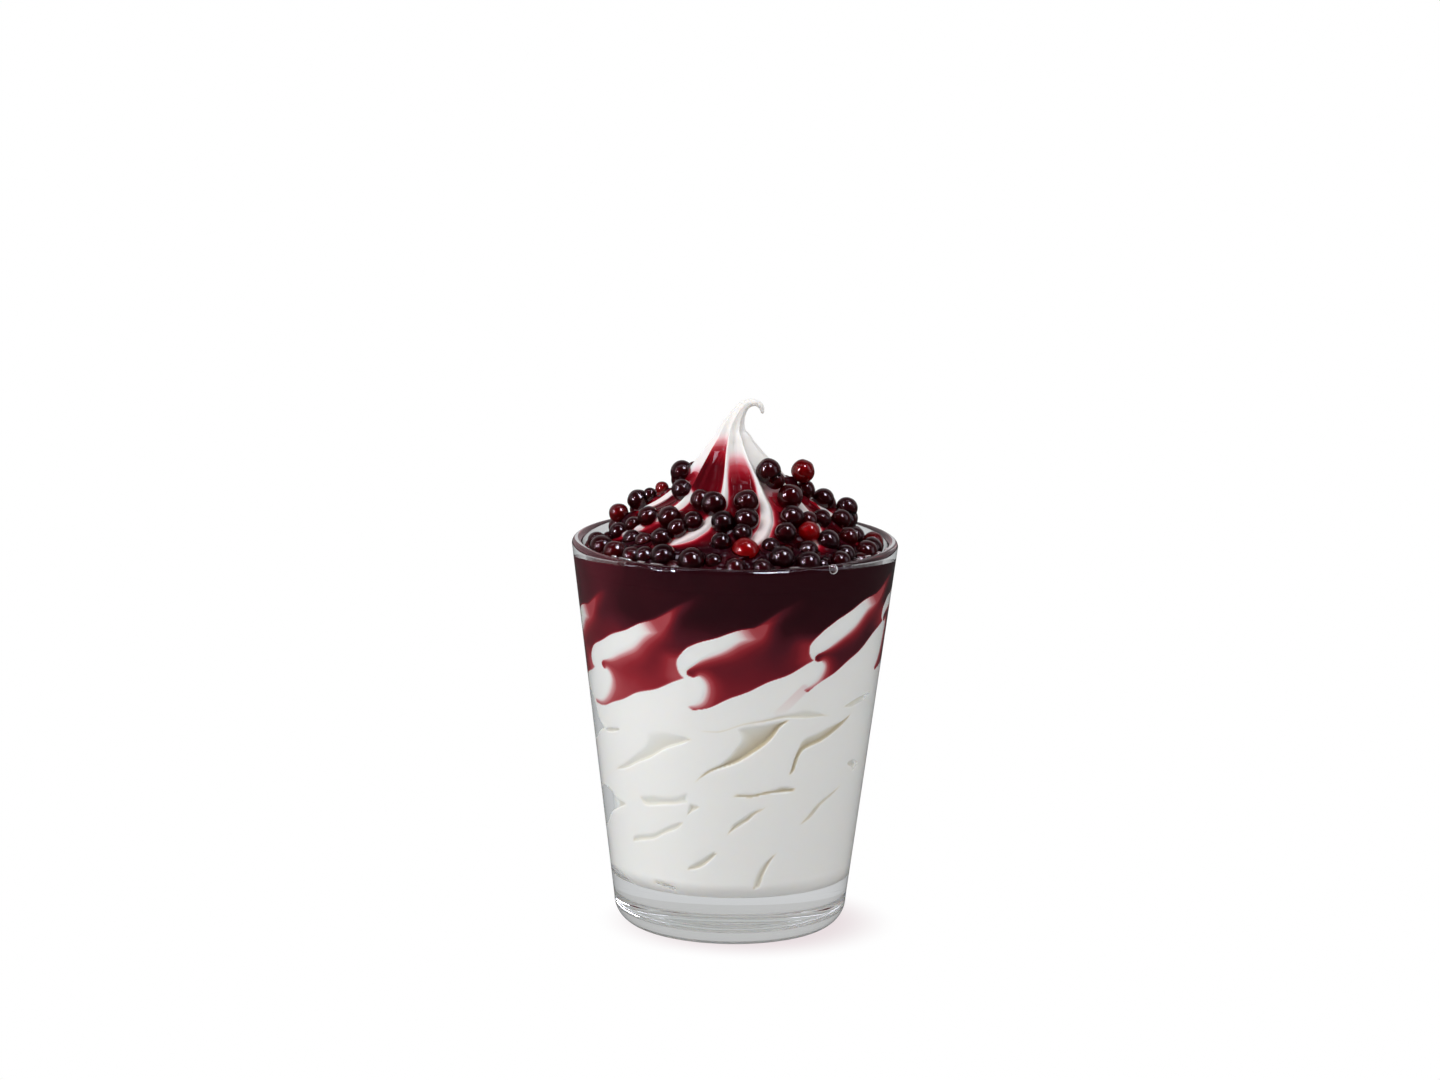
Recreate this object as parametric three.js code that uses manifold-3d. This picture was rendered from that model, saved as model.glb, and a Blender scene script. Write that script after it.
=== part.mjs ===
// An ice cream sundae in its clear tumbler: soft-serve ice cream pressed against the glass in slanting folds,
// berry sauce that runs down between the folds, and a heap of syrup pearls round a ridged peak with a hooked tip.
// Millimetres, +Z up, the origin in the middle of the glass's foot, the shown side towards -Y.
// Azimuths are degrees round +Z, 0 at the front and 90 at +X.
import * as THREE from "three";
import { mergeVertices } from "three/addons/utils/BufferGeometryUtils.js";
import Module from "manifold-3d";

const wasm = await Module();
wasm.setup();

// Tumbler
const RIM_RADIUS = 46;
const GLASS_HEIGHT = 111;
const HEEL_TOP_RADIUS = 33; // outer radius where the heel's rounding meets the straight wall
const HEEL_ROUNDING = 7.4;
const LIP_ROUNDING = 1.5;
const WALL = 3;
const FLOOR_HEIGHT = 14.5;
const FLOOR_CORNER = 5;
const GLASS_SIDES = 36;
const HEEL_STEPS = 5;
const LIP_STEPS = 6;
const CORNER_STEPS = 4;

// Pieces that touch stand this far apart
const GAP = 0.3;

// Sauce against the glass: its level, its greatest thickness and its thickness at the low ends of the tongues
const SAUCE_LEVEL = 106.8;
const SAUCE_BOTTOM = 60;
const SAUCE_THICK = 4.2;
const SAUCE_THIN = 1.4;
const THIN_HEIGHT = 70;
const THICK_HEIGHT = 96;

// Folds of ice cream that reach up into the sauce. Each has a crisp upper edge that climbs to the right, steps up
// at the fold's left end and runs on as a pointed white lens. Below the lens the fold draws back from the glass.
const FOLD_RADIUS = 40; // turns an azimuth into a distance along the glass
const CLIMB_BEFORE = 0.37;
const CLIMB_AFTER = 0.29;
const EDGE_DROP = 2; // how far the upper edge lies under the fold's height before the step
const STEP_FROM = -1; // where the step begins and ends, along the glass
const STEP_TO = 4;
const LENS_CLIMB = 0.68; // climb of the lens's lower edge
const LENS_DROP = 3;
const CRISP = 1;
const SOFT = 6;
// azimuth and height of the left end, the height of the step, and where the drawn-back part begins
const FOLDS = [
  { azimuth: -107, height: 82, step: 8.5, start: 4, lean: 0.4 },
  { azimuth: -73.7, height: 79.3, step: 6.5, start: 10, lean: 1 },
  { azimuth: -22, height: 81.5, step: 9, start: 3.5, lean: 0 },
  { azimuth: 31, height: 86, step: 8.5, start: 3.6, lean: 0.55 },
  { azimuth: 75, height: 92.5, step: 7, start: 4, lean: 0.5 },
  { azimuth: 118, height: 88, step: 8.5, start: 5, lean: 0.3 },
  { azimuth: 161, height: 82, step: 8, start: 4, lean: 0.6 },
  { azimuth: 205, height: 84, step: 8.5, start: 4, lean: 0.4 },
];

// Open creases where the folds don't reach the glass: azimuth, height, length along the glass, climb in degrees,
// width and depth. The front ones lie where they show, and the back has like ones.
const CREASES = [
  { azimuth: -40, height: 55, length: 32, climb: 27, width: 8, depth: 1.6 },
  { azimuth: 4, height: 57, length: 33, climb: 35, width: 5.5, depth: 3 },
  { azimuth: 45, height: 61, length: 34, climb: 30, width: 4, depth: 2.4 },
  { azimuth: -76, height: 37, length: 22, climb: -8, width: 9, depth: 2.6 },
  { azimuth: -80, height: 59, length: 13, climb: -20, width: 8, depth: 2.2 },
  { azimuth: -34, height: 38, length: 26, climb: 18, width: 4.5, depth: 1.8 },
  { azimuth: 8, height: 38, length: 16, climb: 37, width: 4, depth: 1.6 },
  { azimuth: 46, height: 41, length: 20, climb: 28, width: 4, depth: 1.6 },
];
const BACK_CREASES = 9;
const BACK_AZIMUTHS = { from: 96, to: 262 };
const BACK_HEIGHTS = { from: 27, to: 66 };
const BACK_LENGTHS = { from: 18, to: 32 };
const BACK_CLIMBS = { from: 22, to: 36 };
const BACK_WIDTHS = { from: 3.5, to: 6.5 };
const BACK_DEPTHS = { from: 1.6, to: 2.8 };
const BACK_STRIDE = 0.38; // each next crease lies higher by this share of the heights
const BACK_STRAY = 0.2;
const CREASE_MIDDLE = 0.35; // how much of a crease's width lies below its middle line
const CREASE_EDGE = 0.25; // how much of it slopes at the lower edge
const CREASE_SEED = 977;

// Peak: the radius of its ridges' crests at heights above the foot, from the glass up to the bend
const CREST_OUTLINE = [
  { height: 98, radius: 40.6 },
  { height: 104, radius: 38.8 },
  { height: 108, radius: 37 },
  { height: 112, radius: 34 },
  { height: 116, radius: 30.2 },
  { height: 119, radius: 26 },
  { height: 122, radius: 21.4 },
  { height: 126, radius: 16.8 },
  { height: 131, radius: 12.8 },
  { height: 135, radius: 9.4 },
  { height: 139, radius: 6.2 },
];
const RIDGES = 9;
const FIRST_RIDGE = -12;
const RIDGE_FROM_HEIGHT = 103;
const RIDGE_FULL_HEIGHT = 114;
const VALLEY_SHARE = 0.36; // valley depth as a share of the crest's radius
const VALLEY_DEEPEST = 5;
const VALLEY_POWER = 0.8; // under 1 the valleys are wide and the ridges narrow
const TWIST = 22; // degrees that the ridges swing back in the first TWIST_HEIGHT below TWIST_TOP
const TWIST_TOP = 124;
const TWIST_HEIGHT = 10;
const TWIST_BOTTOM = 106;
const TWIST_POWER = 1.5;
const LEAN_FROM_HEIGHT = 126;
const LEAN = -1.1; // how far the peak's middle has moved along X where the tip begins

// Tip: a thin tail drawn up, over and down to +X. Places of its middle line and its radius there.
const TIP = [
  { x: -1.1, z: 139, radius: 6.2 },
  { x: -1, z: 142.6, radius: 3.8 },
  { x: 0.3, z: 146.4, radius: 2.3 },
  { x: 2.3, z: 149.3, radius: 1.5 },
  { x: 4.9, z: 150.3, radius: 1.1 },
  { x: 6.7, z: 149, radius: 0.8 },
  { x: 7.2, z: 147.3, radius: 0.5 },
];
const TIP_RINGS = 7;
const ICE_SIDES = 54;
const FILLING_RINGS = 18;
const RING_SPREAD = 0.85; // under 1 the rings lie closer higher up, where the sauce's folds are
const PEAK_RINGS = 12;

// Pearls and the syrup between them
const SYRUP_TOP = 130;
const SYRUP_SIDES = 27;
const SYRUP_RINGS = 5;
const SYRUP_SHARE = 0.3; // how deep under the crests the syrup lies, as a share of the valley's depth
const SYRUP_SLOPE = 6; // the height over which the syrup's face runs out from the crests to the glass
const SYRUP_REACH = 0.9;
const SYRUP_LEAST = 0.4; // the syrup stands this high against the glass all round
const FRONT_RISE = 2.6; // and so much higher in front
const FRONT_POWER = 0.7;
const PEARL_SMALLEST = 2.7;
const PEARL_LARGEST = 3.7;
const PEARL_SUNK = 0.28; // how far a pearl's middle stands out of the syrup, as a share of its radius
const PEARL_STEP = 0.2; // a pearl that would lie in the ice cream moves out by this until it lies on it
const PEARL_STEPS = 16;
const SLOPE_STEP = 0.5;
const PEARL_ROOM = 1.02; // the least distance between two pearls, as a share of the sum of their radii
const PEARL_TRIES = 90;
const PEARL_ROUNDS = 150; // rounds of tries, and a round that finds no room adds no pearl
const BARE_CREST_HEIGHT = 113; // above this height the pearls leave the crests bare
const BARE_CREST_SHAPE = 0.5;
const PEARL_FACET_SHARE = 1.1; // a twenty-sided pearl reaches a little past the round one at its corners
const HEAP_FOOT = 109.4;
const HEAP_TOP = 126;
const HEAP_FRONT_DROP = 3;
const HEAP_WAVE = 1.5;
const LOW_POWER = 1.5; // over 1 more of the tries fall low on the heap, where it is wider
const PEARL_SEED = 20611;
// The pearls that mark the heap's outline: azimuth, height, radius and how far out they lie past the usual place
const MARKED_PEARLS = [
  { azimuth: -87, height: 131, radius: 3.3, out: 0.2 },
  { azimuth: -62, height: 126.5, radius: 3.4, out: 0.3 },
  { azimuth: 45, height: 132, radius: 3.7, out: 0.6 },
  { azimuth: 92, height: 130, radius: 3.6, out: 2.6 },
  { azimuth: 56, height: 126, radius: 3.7, out: 0.4 },
  { azimuth: 42, height: 120.5, radius: 3.5, out: 0.4 },
  { azimuth: -19, height: 125.5, radius: 3.7, out: 0.3 },
  { azimuth: -31, height: 125, radius: 3.2, out: 0 },
  { azimuth: 9, height: 125.5, radius: 3.7, out: 0.2 },
  { azimuth: 7, height: 119.8, radius: 3.7, out: 0.3 },
  { azimuth: -8, height: 119.5, radius: 3.3, out: 0.5 },
  { azimuth: -29, height: 119.2, radius: 3.2, out: 0.3 },
  { azimuth: 4, height: 111.5, radius: 4, out: 0.3 },
  { azimuth: 96, height: 119.5, radius: 3.3, out: 1.2 },
  { azimuth: -96, height: 118.5, radius: 3.3, out: 0.6 },
  { azimuth: -104, height: 122.5, radius: 3.4, out: 0.6 },
];

// Colours
const GLASS_COLOUR = 0xd8dde0;
const ICE_COLOUR = 0xf1efeb;
const SAUCE_COLOUR = 0x4a1620;
const PEARL_COLOUR = 0x2a0c14;
const GLASS_OPACITY = 0.3;

const SAME_POINT = 1e-4; // corners closer than this are one

const radians = THREE.MathUtils.degToRad;
const lerp = THREE.MathUtils.lerp;
const smoothstep = (x, from, to) => THREE.MathUtils.smoothstep(x, from, to);

// Numbers from 0 to 1, the same on each run
function draws(seed) {
  let state = seed;
  return () => {
    state = (state * 48271) % 2147483647;
    return state / 2147483647;
  };
}

// A smooth curve through rows that are sorted by from, read at a value of it
function follow(rows, from, to, at) {
  const last = rows.length - 1;
  if (at <= rows[0][from]) return rows[0][to];
  if (at >= rows[last][from]) return rows[last][to];
  let i = 0;
  while (rows[i + 1][from] < at) i += 1;
  const slope = (k) => {
    const a = rows[Math.max(k - 1, 0)];
    const b = rows[Math.min(k + 1, last)];
    return (b[to] - a[to]) / (b[from] - a[from]);
  };
  const step = rows[i + 1][from] - rows[i][from];
  const t = (at - rows[i][from]) / step;
  const rise = rows[i + 1][to] - rows[i][to];
  const a = slope(i) * step - rise;
  const b = rise - slope(i + 1) * step;
  return rows[i][to] + t * rise + t * (1 - t) * (a * (1 - t) + b * t);
}

function outerRadius(z) {
  const wallHeight = GLASS_HEIGHT - LIP_ROUNDING - HEEL_ROUNDING;
  return HEEL_TOP_RADIUS + ((RIM_RADIUS - HEEL_TOP_RADIUS) * (z - HEEL_ROUNDING)) / wallHeight;
}

// The glass's inner face, with the rounding round its floor
function cavityRadius(z) {
  const above = z - FLOOR_HEIGHT;
  const wall = outerRadius(Math.max(z, FLOOR_HEIGHT + FLOOR_CORNER)) - WALL;
  if (above >= FLOOR_CORNER) return wall;
  const drop = FLOOR_CORNER - Math.max(above, 0);
  return wall - FLOOR_CORNER + Math.sqrt(FLOOR_CORNER ** 2 - drop ** 2);
}

// How thick the sauce may be at a height
function sauceThickness(z) {
  return lerp(SAUCE_THIN, SAUCE_THICK, smoothstep(z, THIN_HEIGHT, THICK_HEIGHT));
}

// How far one fold lies from the glass. along is the distance to the right of its left end.
function foldDepth(fold, along, z) {
  const above = z - fold.height;
  const climb = along < 0 ? CLIMB_BEFORE : CLIMB_AFTER;
  const edge = climb * along - EDGE_DROP + fold.step * smoothstep(along, STEP_FROM, STEP_TO);
  if (above > edge) return sauceThickness(z) * smoothstep(above - edge, 0, CRISP);
  const underLens = LENS_CLIMB * along - LENS_DROP - above;
  const pastStart = along - fold.start - fold.lean * above;
  return sauceThickness(z) * smoothstep(Math.min(underLens, pastStart), 0, SOFT);
}

// The nearest fold counts. A fold is looked for on both ways round the glass.
function saucePocket(azimuth, z) {
  let least = sauceThickness(z);
  for (const fold of FOLDS)
    for (const turn of [-360, 0, 360]) {
      const along = radians(azimuth + turn - fold.azimuth) * FOLD_RADIUS;
      if (Math.abs(along) < Math.PI * FOLD_RADIUS) least = Math.min(least, foldDepth(fold, along, z));
    }
  return least;
}

function backCreases() {
  const draw = draws(CREASE_SEED);
  const between = (range, share) => lerp(range.from, range.to, share);
  const made = [];
  for (let i = 0; i < BACK_CREASES; i += 1) {
    made.push({
      azimuth: between(BACK_AZIMUTHS, (i + 0.5) / BACK_CREASES),
      height: between(BACK_HEIGHTS, (i * BACK_STRIDE + BACK_STRAY * draw()) % 1),
      length: between(BACK_LENGTHS, draw()),
      climb: between(BACK_CLIMBS, draw()),
      width: between(BACK_WIDTHS, draw()),
      depth: between(BACK_DEPTHS, draw()),
    });
  }
  return made;
}

const ALL_CREASES = [...CREASES, ...backCreases()];

// A crease is deepest just above its lower edge and fades upwards and towards its ends
function creaseDepth(azimuth, z) {
  let deepest = 0;
  for (const crease of ALL_CREASES) {
    const turn = ((azimuth - crease.azimuth + 540) % 360) - 180;
    const across = radians(turn) * FOLD_RADIUS;
    const up = z - crease.height;
    const angle = radians(crease.climb);
    const along = (across * Math.cos(angle) + up * Math.sin(angle)) / (crease.length / 2);
    const off = (up * Math.cos(angle) - across * Math.sin(angle)) / crease.width + CREASE_MIDDLE;
    if (Math.abs(along) >= 1 || off <= 0 || off >= 1) continue;
    const ends = 1 - along ** 2;
    deepest = Math.max(deepest, crease.depth * ends * smoothstep(off, 0, CREASE_EDGE) * (1 - off));
  }
  return deepest;
}

function twist(z) {
  const below = Math.max(0, TWIST_TOP - Math.max(z, TWIST_BOTTOM)) / TWIST_HEIGHT;
  return -TWIST * below ** TWIST_POWER;
}

// 0 on a ridge's crest and 1 along a valley's middle, for an azimuth already turned back by the twist
function valleyShape(azimuth) {
  const phase = ((azimuth - FIRST_RIDGE) * RIDGES) / 360;
  const fromCrest = Math.abs(phase - Math.round(phase));
  return Math.sin(Math.PI * fromCrest) ** VALLEY_POWER;
}

function valleyDepth(z, crest) {
  const grown = smoothstep(z, RIDGE_FROM_HEIGHT, RIDGE_FULL_HEIGHT);
  return grown * Math.min(VALLEY_DEEPEST, VALLEY_SHARE * crest);
}

// Radius of the ice cream below the bend
function iceRadius(azimuth, z) {
  const crest = follow(CREST_OUTLINE, "height", "radius", z);
  const peak = crest - valleyDepth(z, crest) * valleyShape(azimuth - twist(z));
  if (z >= SAUCE_LEVEL) return peak;
  const wall = cavityRadius(z) - GAP;
  const filling = wall - saucePocket(azimuth, z) - creaseDepth(azimuth, z);
  return lerp(filling, Math.min(peak, filling), smoothstep(z, THICK_HEIGHT, SAUCE_LEVEL));
}

function leanAt(z) {
  return LEAN * smoothstep(z, LEAN_FROM_HEIGHT, TIP[0].z);
}

// A closed skin over rings of points, all with as many points, with a fan on each end
function skin(rings, first, last) {
  const sides = rings[0].length;
  const points = [first, ...rings.flat(), last];
  const faces = [];
  const at = (ring, side) => 1 + ring * sides + (side % sides);
  for (let side = 0; side < sides; side += 1) {
    faces.push(0, at(0, side + 1), at(0, side));
    for (let ring = 0; ring + 1 < rings.length; ring += 1) {
      faces.push(at(ring, side), at(ring, side + 1), at(ring + 1, side + 1));
      faces.push(at(ring, side), at(ring + 1, side + 1), at(ring + 1, side));
    }
    faces.push(at(rings.length - 1, side), at(rings.length - 1, side + 1), points.length - 1);
  }
  const geometry = new THREE.BufferGeometry().setFromPoints(points);
  geometry.setIndex(faces);
  return geometry;
}

// The ice cream, grown by a margin. Its columns of points follow the ridges, so that the crests stay sharp.
function iceGeometry(grow) {
  const rings = [];
  const column = (side, z) => (360 * side) / ICE_SIDES + FIRST_RIDGE + twist(z);
  const level = (z, radius) => {
    const ring = [];
    for (let side = 0; side < ICE_SIDES; side += 1) {
      const turned = radians(column(side, z));
      const r = radius(column(side, z)) + grow;
      ring.push(new THREE.Vector3(leanAt(z) + r * Math.sin(turned), -r * Math.cos(turned), z));
    }
    rings.push(ring);
  };
  const bottom = FLOOR_HEIGHT + GAP - grow;
  level(bottom, () => cavityRadius(FLOOR_HEIGHT + GAP) - GAP);
  for (let i = 1; i <= FILLING_RINGS; i += 1) {
    const share = i / FILLING_RINGS;
    const z = lerp(FLOOR_HEIGHT, SAUCE_LEVEL, share ** RING_SPREAD);
    level(z, (azimuth) => iceRadius(azimuth, z));
  }
  for (let i = 1; i <= PEAK_RINGS; i += 1) {
    const z = lerp(SAUCE_LEVEL, TIP[0].z, i / PEAK_RINGS);
    level(z, (azimuth) => iceRadius(azimuth, z));
  }
  const middle = new THREE.CatmullRomCurve3(TIP.map((place) => new THREE.Vector3(place.x, 0, place.z)));
  const lastPlace = TIP.length - 1;
  for (let i = 1; i <= TIP_RINGS; i += 1) {
    const share = i / TIP_RINGS;
    const centre = middle.getPoint(share);
    const ahead = middle.getTangent(share);
    const sideways = new THREE.Vector3(ahead.z, 0, -ahead.x);
    const place = Math.min(Math.floor(share * lastPlace), lastPlace - 1);
    const within = share * lastPlace - place;
    const crest = lerp(TIP[place].radius, TIP[place + 1].radius, within);
    const ring = [];
    for (let side = 0; side < ICE_SIDES; side += 1) {
      const azimuth = column(side, TWIST_TOP);
      const r = crest * (1 - VALLEY_SHARE * (1 - share) * valleyShape(azimuth)) + grow;
      const point = centre.clone().addScaledVector(sideways, r * Math.sin(radians(azimuth)));
      point.y -= r * Math.cos(radians(azimuth));
      ring.push(point);
    }
    rings.push(ring);
  }
  const end = middle.getPoint(1).addScaledVector(middle.getTangent(1), TIP[lastPlace].radius + grow);
  return skin(rings, new THREE.Vector3(0, 0, bottom), end);
}

function glassGeometry() {
  const profile = [new THREE.Vector2(0, 0)];
  const arc = (r, z, size, from, to, steps) => {
    for (let i = 0; i <= steps; i += 1) {
      const angle = radians(lerp(from, to, i / steps));
      profile.push(new THREE.Vector2(r + size * Math.cos(angle), z + size * Math.sin(angle)));
    }
  };
  const lipTop = GLASS_HEIGHT - LIP_ROUNDING;
  const cornerTop = FLOOR_HEIGHT + FLOOR_CORNER;
  arc(HEEL_TOP_RADIUS - HEEL_ROUNDING, HEEL_ROUNDING, HEEL_ROUNDING, -90, 0, HEEL_STEPS);
  arc(RIM_RADIUS - LIP_ROUNDING, lipTop, LIP_ROUNDING, 0, 180, LIP_STEPS);
  arc(cavityRadius(cornerTop) - FLOOR_CORNER, cornerTop, FLOOR_CORNER, 0, -90, CORNER_STEPS);
  profile.push(new THREE.Vector2(0, FLOOR_HEIGHT));
  return upright(new THREE.LatheGeometry(profile, GLASS_SIDES));
}

// A lathe turns round Y, and this stands it on Z
function upright(geometry) {
  return geometry.rotateX(Math.PI / 2);
}

// A solid of revolution from its outline as [radius, height] pairs, bottom to top, with flat ends
function turned(outline, sides) {
  const profile = outline.map(([r, z]) => new THREE.Vector2(r, z));
  profile.unshift(new THREE.Vector2(0, outline[0][1]));
  profile.push(new THREE.Vector2(0, outline[outline.length - 1][1]));
  return upright(new THREE.LatheGeometry(profile, sides));
}

// A closed mesh as a solid that can be joined and cut
function solid(geometry) {
  const bare = geometry.clone();
  bare.deleteAttribute("normal");
  bare.deleteAttribute("uv");
  const merged = mergeVertices(bare, SAME_POINT);
  return new wasm.Manifold(
    new wasm.Mesh({
      numProp: 3,
      vertProperties: new Float32Array(merged.attributes.position.array),
      triVerts: new Uint32Array(merged.index.array),
    }),
  );
}

// The largest body of a solid, as a geometry
function geometryOf(made) {
  const bodies = made.decompose().sort((a, b) => b.volume() - a.volume());
  const mesh = bodies[0].getMesh();
  const geometry = new THREE.BufferGeometry();
  geometry.setAttribute("position", new THREE.BufferAttribute(new Float32Array(mesh.vertProperties), 3));
  geometry.setIndex(new THREE.BufferAttribute(new Uint32Array(mesh.triVerts), 1));
  geometry.computeVertexNormals();
  return geometry;
}

const grownIce = solid(iceGeometry(GAP));

// Sauce: what is left between the ice cream and the glass up to the sauce's level
function sauceGeometry() {
  const outline = [SAUCE_BOTTOM, SAUCE_LEVEL].map((z) => [cavityRadius(z) - GAP, z]);
  return geometryOf(solid(turned(outline, ICE_SIDES)).subtract(grownIce));
}

// The syrup's outer face: it fills the valleys below the crests and slopes down to the glass
function syrupRadius(z, level = SAUCE_LEVEL) {
  const crest = follow(CREST_OUTLINE, "height", "radius", z);
  const toGlass = 1 - smoothstep(z, level, level + SYRUP_SLOPE);
  const free = cavityRadius(z) - GAP - crest;
  return crest - SYRUP_SHARE * valleyDepth(z, crest) + toGlass * free * SYRUP_REACH;
}

// How high the syrup stands against the glass
function syrupLevel(azimuth) {
  const front = Math.max(0, Math.cos(radians(azimuth))) ** FRONT_POWER;
  return SAUCE_LEVEL + GAP + SYRUP_LEAST + FRONT_RISE * front;
}

function inIce(point) {
  const azimuth = THREE.MathUtils.radToDeg(Math.atan2(point.x - leanAt(point.z), -point.y));
  return Math.hypot(point.x - leanAt(point.z), point.y) < iceRadius(azimuth, point.z) + GAP;
}

// The corners of a pearl of radius 1
const pearlCorners = [];
const unitPearl = new THREE.IcosahedronGeometry(PEARL_FACET_SHARE, 0).attributes.position;
for (let i = 0; i < unitPearl.count; i += 1) {
  pearlCorners.push(new THREE.Vector3().fromBufferAttribute(unitPearl, i));
}

// A pearl's middle stands off the syrup, square to the heap's slope, and as far out as the ice cream asks
function pearlPlace(azimuth, z, radius, out) {
  const slope = (syrupRadius(z + SLOPE_STEP) - syrupRadius(z - SLOPE_STEP)) / (2 * SLOPE_STEP);
  const tilt = Math.atan(-slope);
  const turn = radians(azimuth);
  const outward = new THREE.Vector3(Math.sin(turn), -Math.cos(turn), 0);
  const square = outward.clone().multiplyScalar(Math.cos(tilt)).setZ(Math.sin(tilt));
  const place = outward.clone().multiplyScalar(syrupRadius(z)).setZ(z);
  place.addScaledVector(square, PEARL_SUNK * radius + out);
  for (let i = 0; i < PEARL_STEPS; i += 1) {
    if (!pearlCorners.some((corner) => inIce(corner.clone().multiplyScalar(radius).add(place)))) break;
    place.addScaledVector(square, PEARL_STEP);
  }
  return place;
}

function insideGlass(place, radius) {
  return Math.hypot(place.x, place.y) + radius < cavityRadius(place.z) - GAP;
}

// How high the pearls reach at an azimuth: lower in front, higher at both sides
function heapTop(azimuth) {
  const wave = HEAP_WAVE * Math.sin(radians(3 * azimuth));
  return HEAP_TOP - HEAP_FRONT_DROP * Math.cos(radians(azimuth)) + wave;
}

// The marked pearls, and then each new pearl where it lies closest to those that are there
function pearls() {
  const draw = draws(PEARL_SEED);
  const placed = MARKED_PEARLS.map((mark) => ({
    place: pearlPlace(mark.azimuth, mark.height, mark.radius, mark.out),
    radius: mark.radius,
  }));
  for (let round = 0; round < PEARL_ROUNDS; round += 1) {
    const radius = lerp(PEARL_SMALLEST, PEARL_LARGEST, draw());
    let best = null;
    for (let i = 0; i < PEARL_TRIES; i += 1) {
      const azimuth = 360 * draw();
      const z = lerp(HEAP_FOOT, heapTop(azimuth), draw() ** LOW_POWER);
      const place = pearlPlace(azimuth, z, radius, 0);
      const onCrest = valleyShape(azimuth - twist(z)) < BARE_CREST_SHAPE;
      if (!insideGlass(place, radius) || (onCrest && z > BARE_CREST_HEIGHT)) continue;
      const room = Math.min(
        ...placed.map((other) => place.distanceTo(other.place) - PEARL_ROOM * (radius + other.radius)),
      );
      if (room >= 0 && (!best || room < best.room)) best = { place, radius, room };
    }
    if (best) placed.push(best);
  }
  return placed;
}

// The syrup: a foot on the sauce, an upright face against the glass, and the sloping face up to the peak
function syrupGeometry(foot) {
  const rings = [];
  const ring = (place) => {
    const points = [];
    for (let side = 0; side < SYRUP_SIDES; side += 1) {
      const azimuth = (360 * side) / SYRUP_SIDES;
      const [r, z] = place(azimuth);
      points.push(new THREE.Vector3(r * Math.sin(radians(azimuth)), -r * Math.cos(radians(azimuth)), z));
    }
    rings.push(points);
  };
  ring(() => [cavityRadius(foot) - GAP, foot]);
  ring((azimuth) => [cavityRadius(syrupLevel(azimuth)) - GAP, syrupLevel(azimuth)]);
  for (let i = 1; i <= SYRUP_RINGS; i += 1)
    ring((azimuth) => {
      const z = lerp(syrupLevel(azimuth), SYRUP_TOP, i / SYRUP_RINGS);
      return [syrupRadius(z, syrupLevel(azimuth)), z];
    });
  return skin(rings, new THREE.Vector3(0, 0, foot), new THREE.Vector3(0, 0, SYRUP_TOP));
}

// The heap: syrup in the valleys with the pearls fused on, clear of the ice cream and of the sauce below
function heapGeometry() {
  const foot = SAUCE_LEVEL + GAP;
  let heap = solid(syrupGeometry(foot));
  for (const { place, radius } of pearls()) {
    const pearl = new THREE.IcosahedronGeometry(radius * PEARL_FACET_SHARE, 0);
    heap = heap.add(solid(pearl.translate(place.x, place.y, place.z)));
  }
  const below = new THREE.BoxGeometry(2 * RIM_RADIUS, 2 * RIM_RADIUS, 2 * RIM_RADIUS);
  below.translate(0, 0, foot - RIM_RADIUS);
  return geometryOf(heap.subtract(grownIce).subtract(solid(below)));
}

const sundae = new THREE.Group();

function piece(name, geometry, color, roughness, opacity = 1) {
  const material = new THREE.MeshStandardMaterial({ color, roughness, metalness: 0 });
  material.opacity = opacity;
  material.transparent = opacity < 1;
  const mesh = new THREE.Mesh(geometry, material);
  mesh.name = name;
  sundae.add(mesh);
}

piece("glass", glassGeometry(), GLASS_COLOUR, 0.05, GLASS_OPACITY);
piece("soft_serve", iceGeometry(0), ICE_COLOUR, 0.45);
piece("berry_sauce", sauceGeometry(), SAUCE_COLOUR, 0.2);
piece("pearl_heap", heapGeometry(), PEARL_COLOUR, 0.15);

export default sundae;
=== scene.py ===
# Looks of the ice cream sundae: a clear tumbler, soft serve pressed against its wall, dark berry sauce
# between the folds, and a heap of syrup pearls round a ridged peak with a hooked tip.
# Sizes are in millimetres in the functions and become metres where a mesh is made.
# Azimuths are degrees round +Z, 0 at the front and 90 at +X.
import math

import bmesh
import bpy
import numpy as np
from mathutils import Matrix, Vector


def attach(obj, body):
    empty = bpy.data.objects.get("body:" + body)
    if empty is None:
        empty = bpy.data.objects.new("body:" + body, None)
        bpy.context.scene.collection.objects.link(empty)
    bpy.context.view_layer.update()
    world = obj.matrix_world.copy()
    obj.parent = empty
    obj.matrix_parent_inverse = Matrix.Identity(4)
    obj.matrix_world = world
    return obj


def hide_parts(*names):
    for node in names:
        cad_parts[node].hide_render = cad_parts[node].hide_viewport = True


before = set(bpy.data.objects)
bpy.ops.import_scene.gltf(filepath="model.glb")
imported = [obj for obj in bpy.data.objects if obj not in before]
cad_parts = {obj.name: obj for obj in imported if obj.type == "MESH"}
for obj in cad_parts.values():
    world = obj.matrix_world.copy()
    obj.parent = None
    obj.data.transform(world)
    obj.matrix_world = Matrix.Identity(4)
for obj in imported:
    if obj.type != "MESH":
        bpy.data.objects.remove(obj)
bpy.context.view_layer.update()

MM = 0.001

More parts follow.
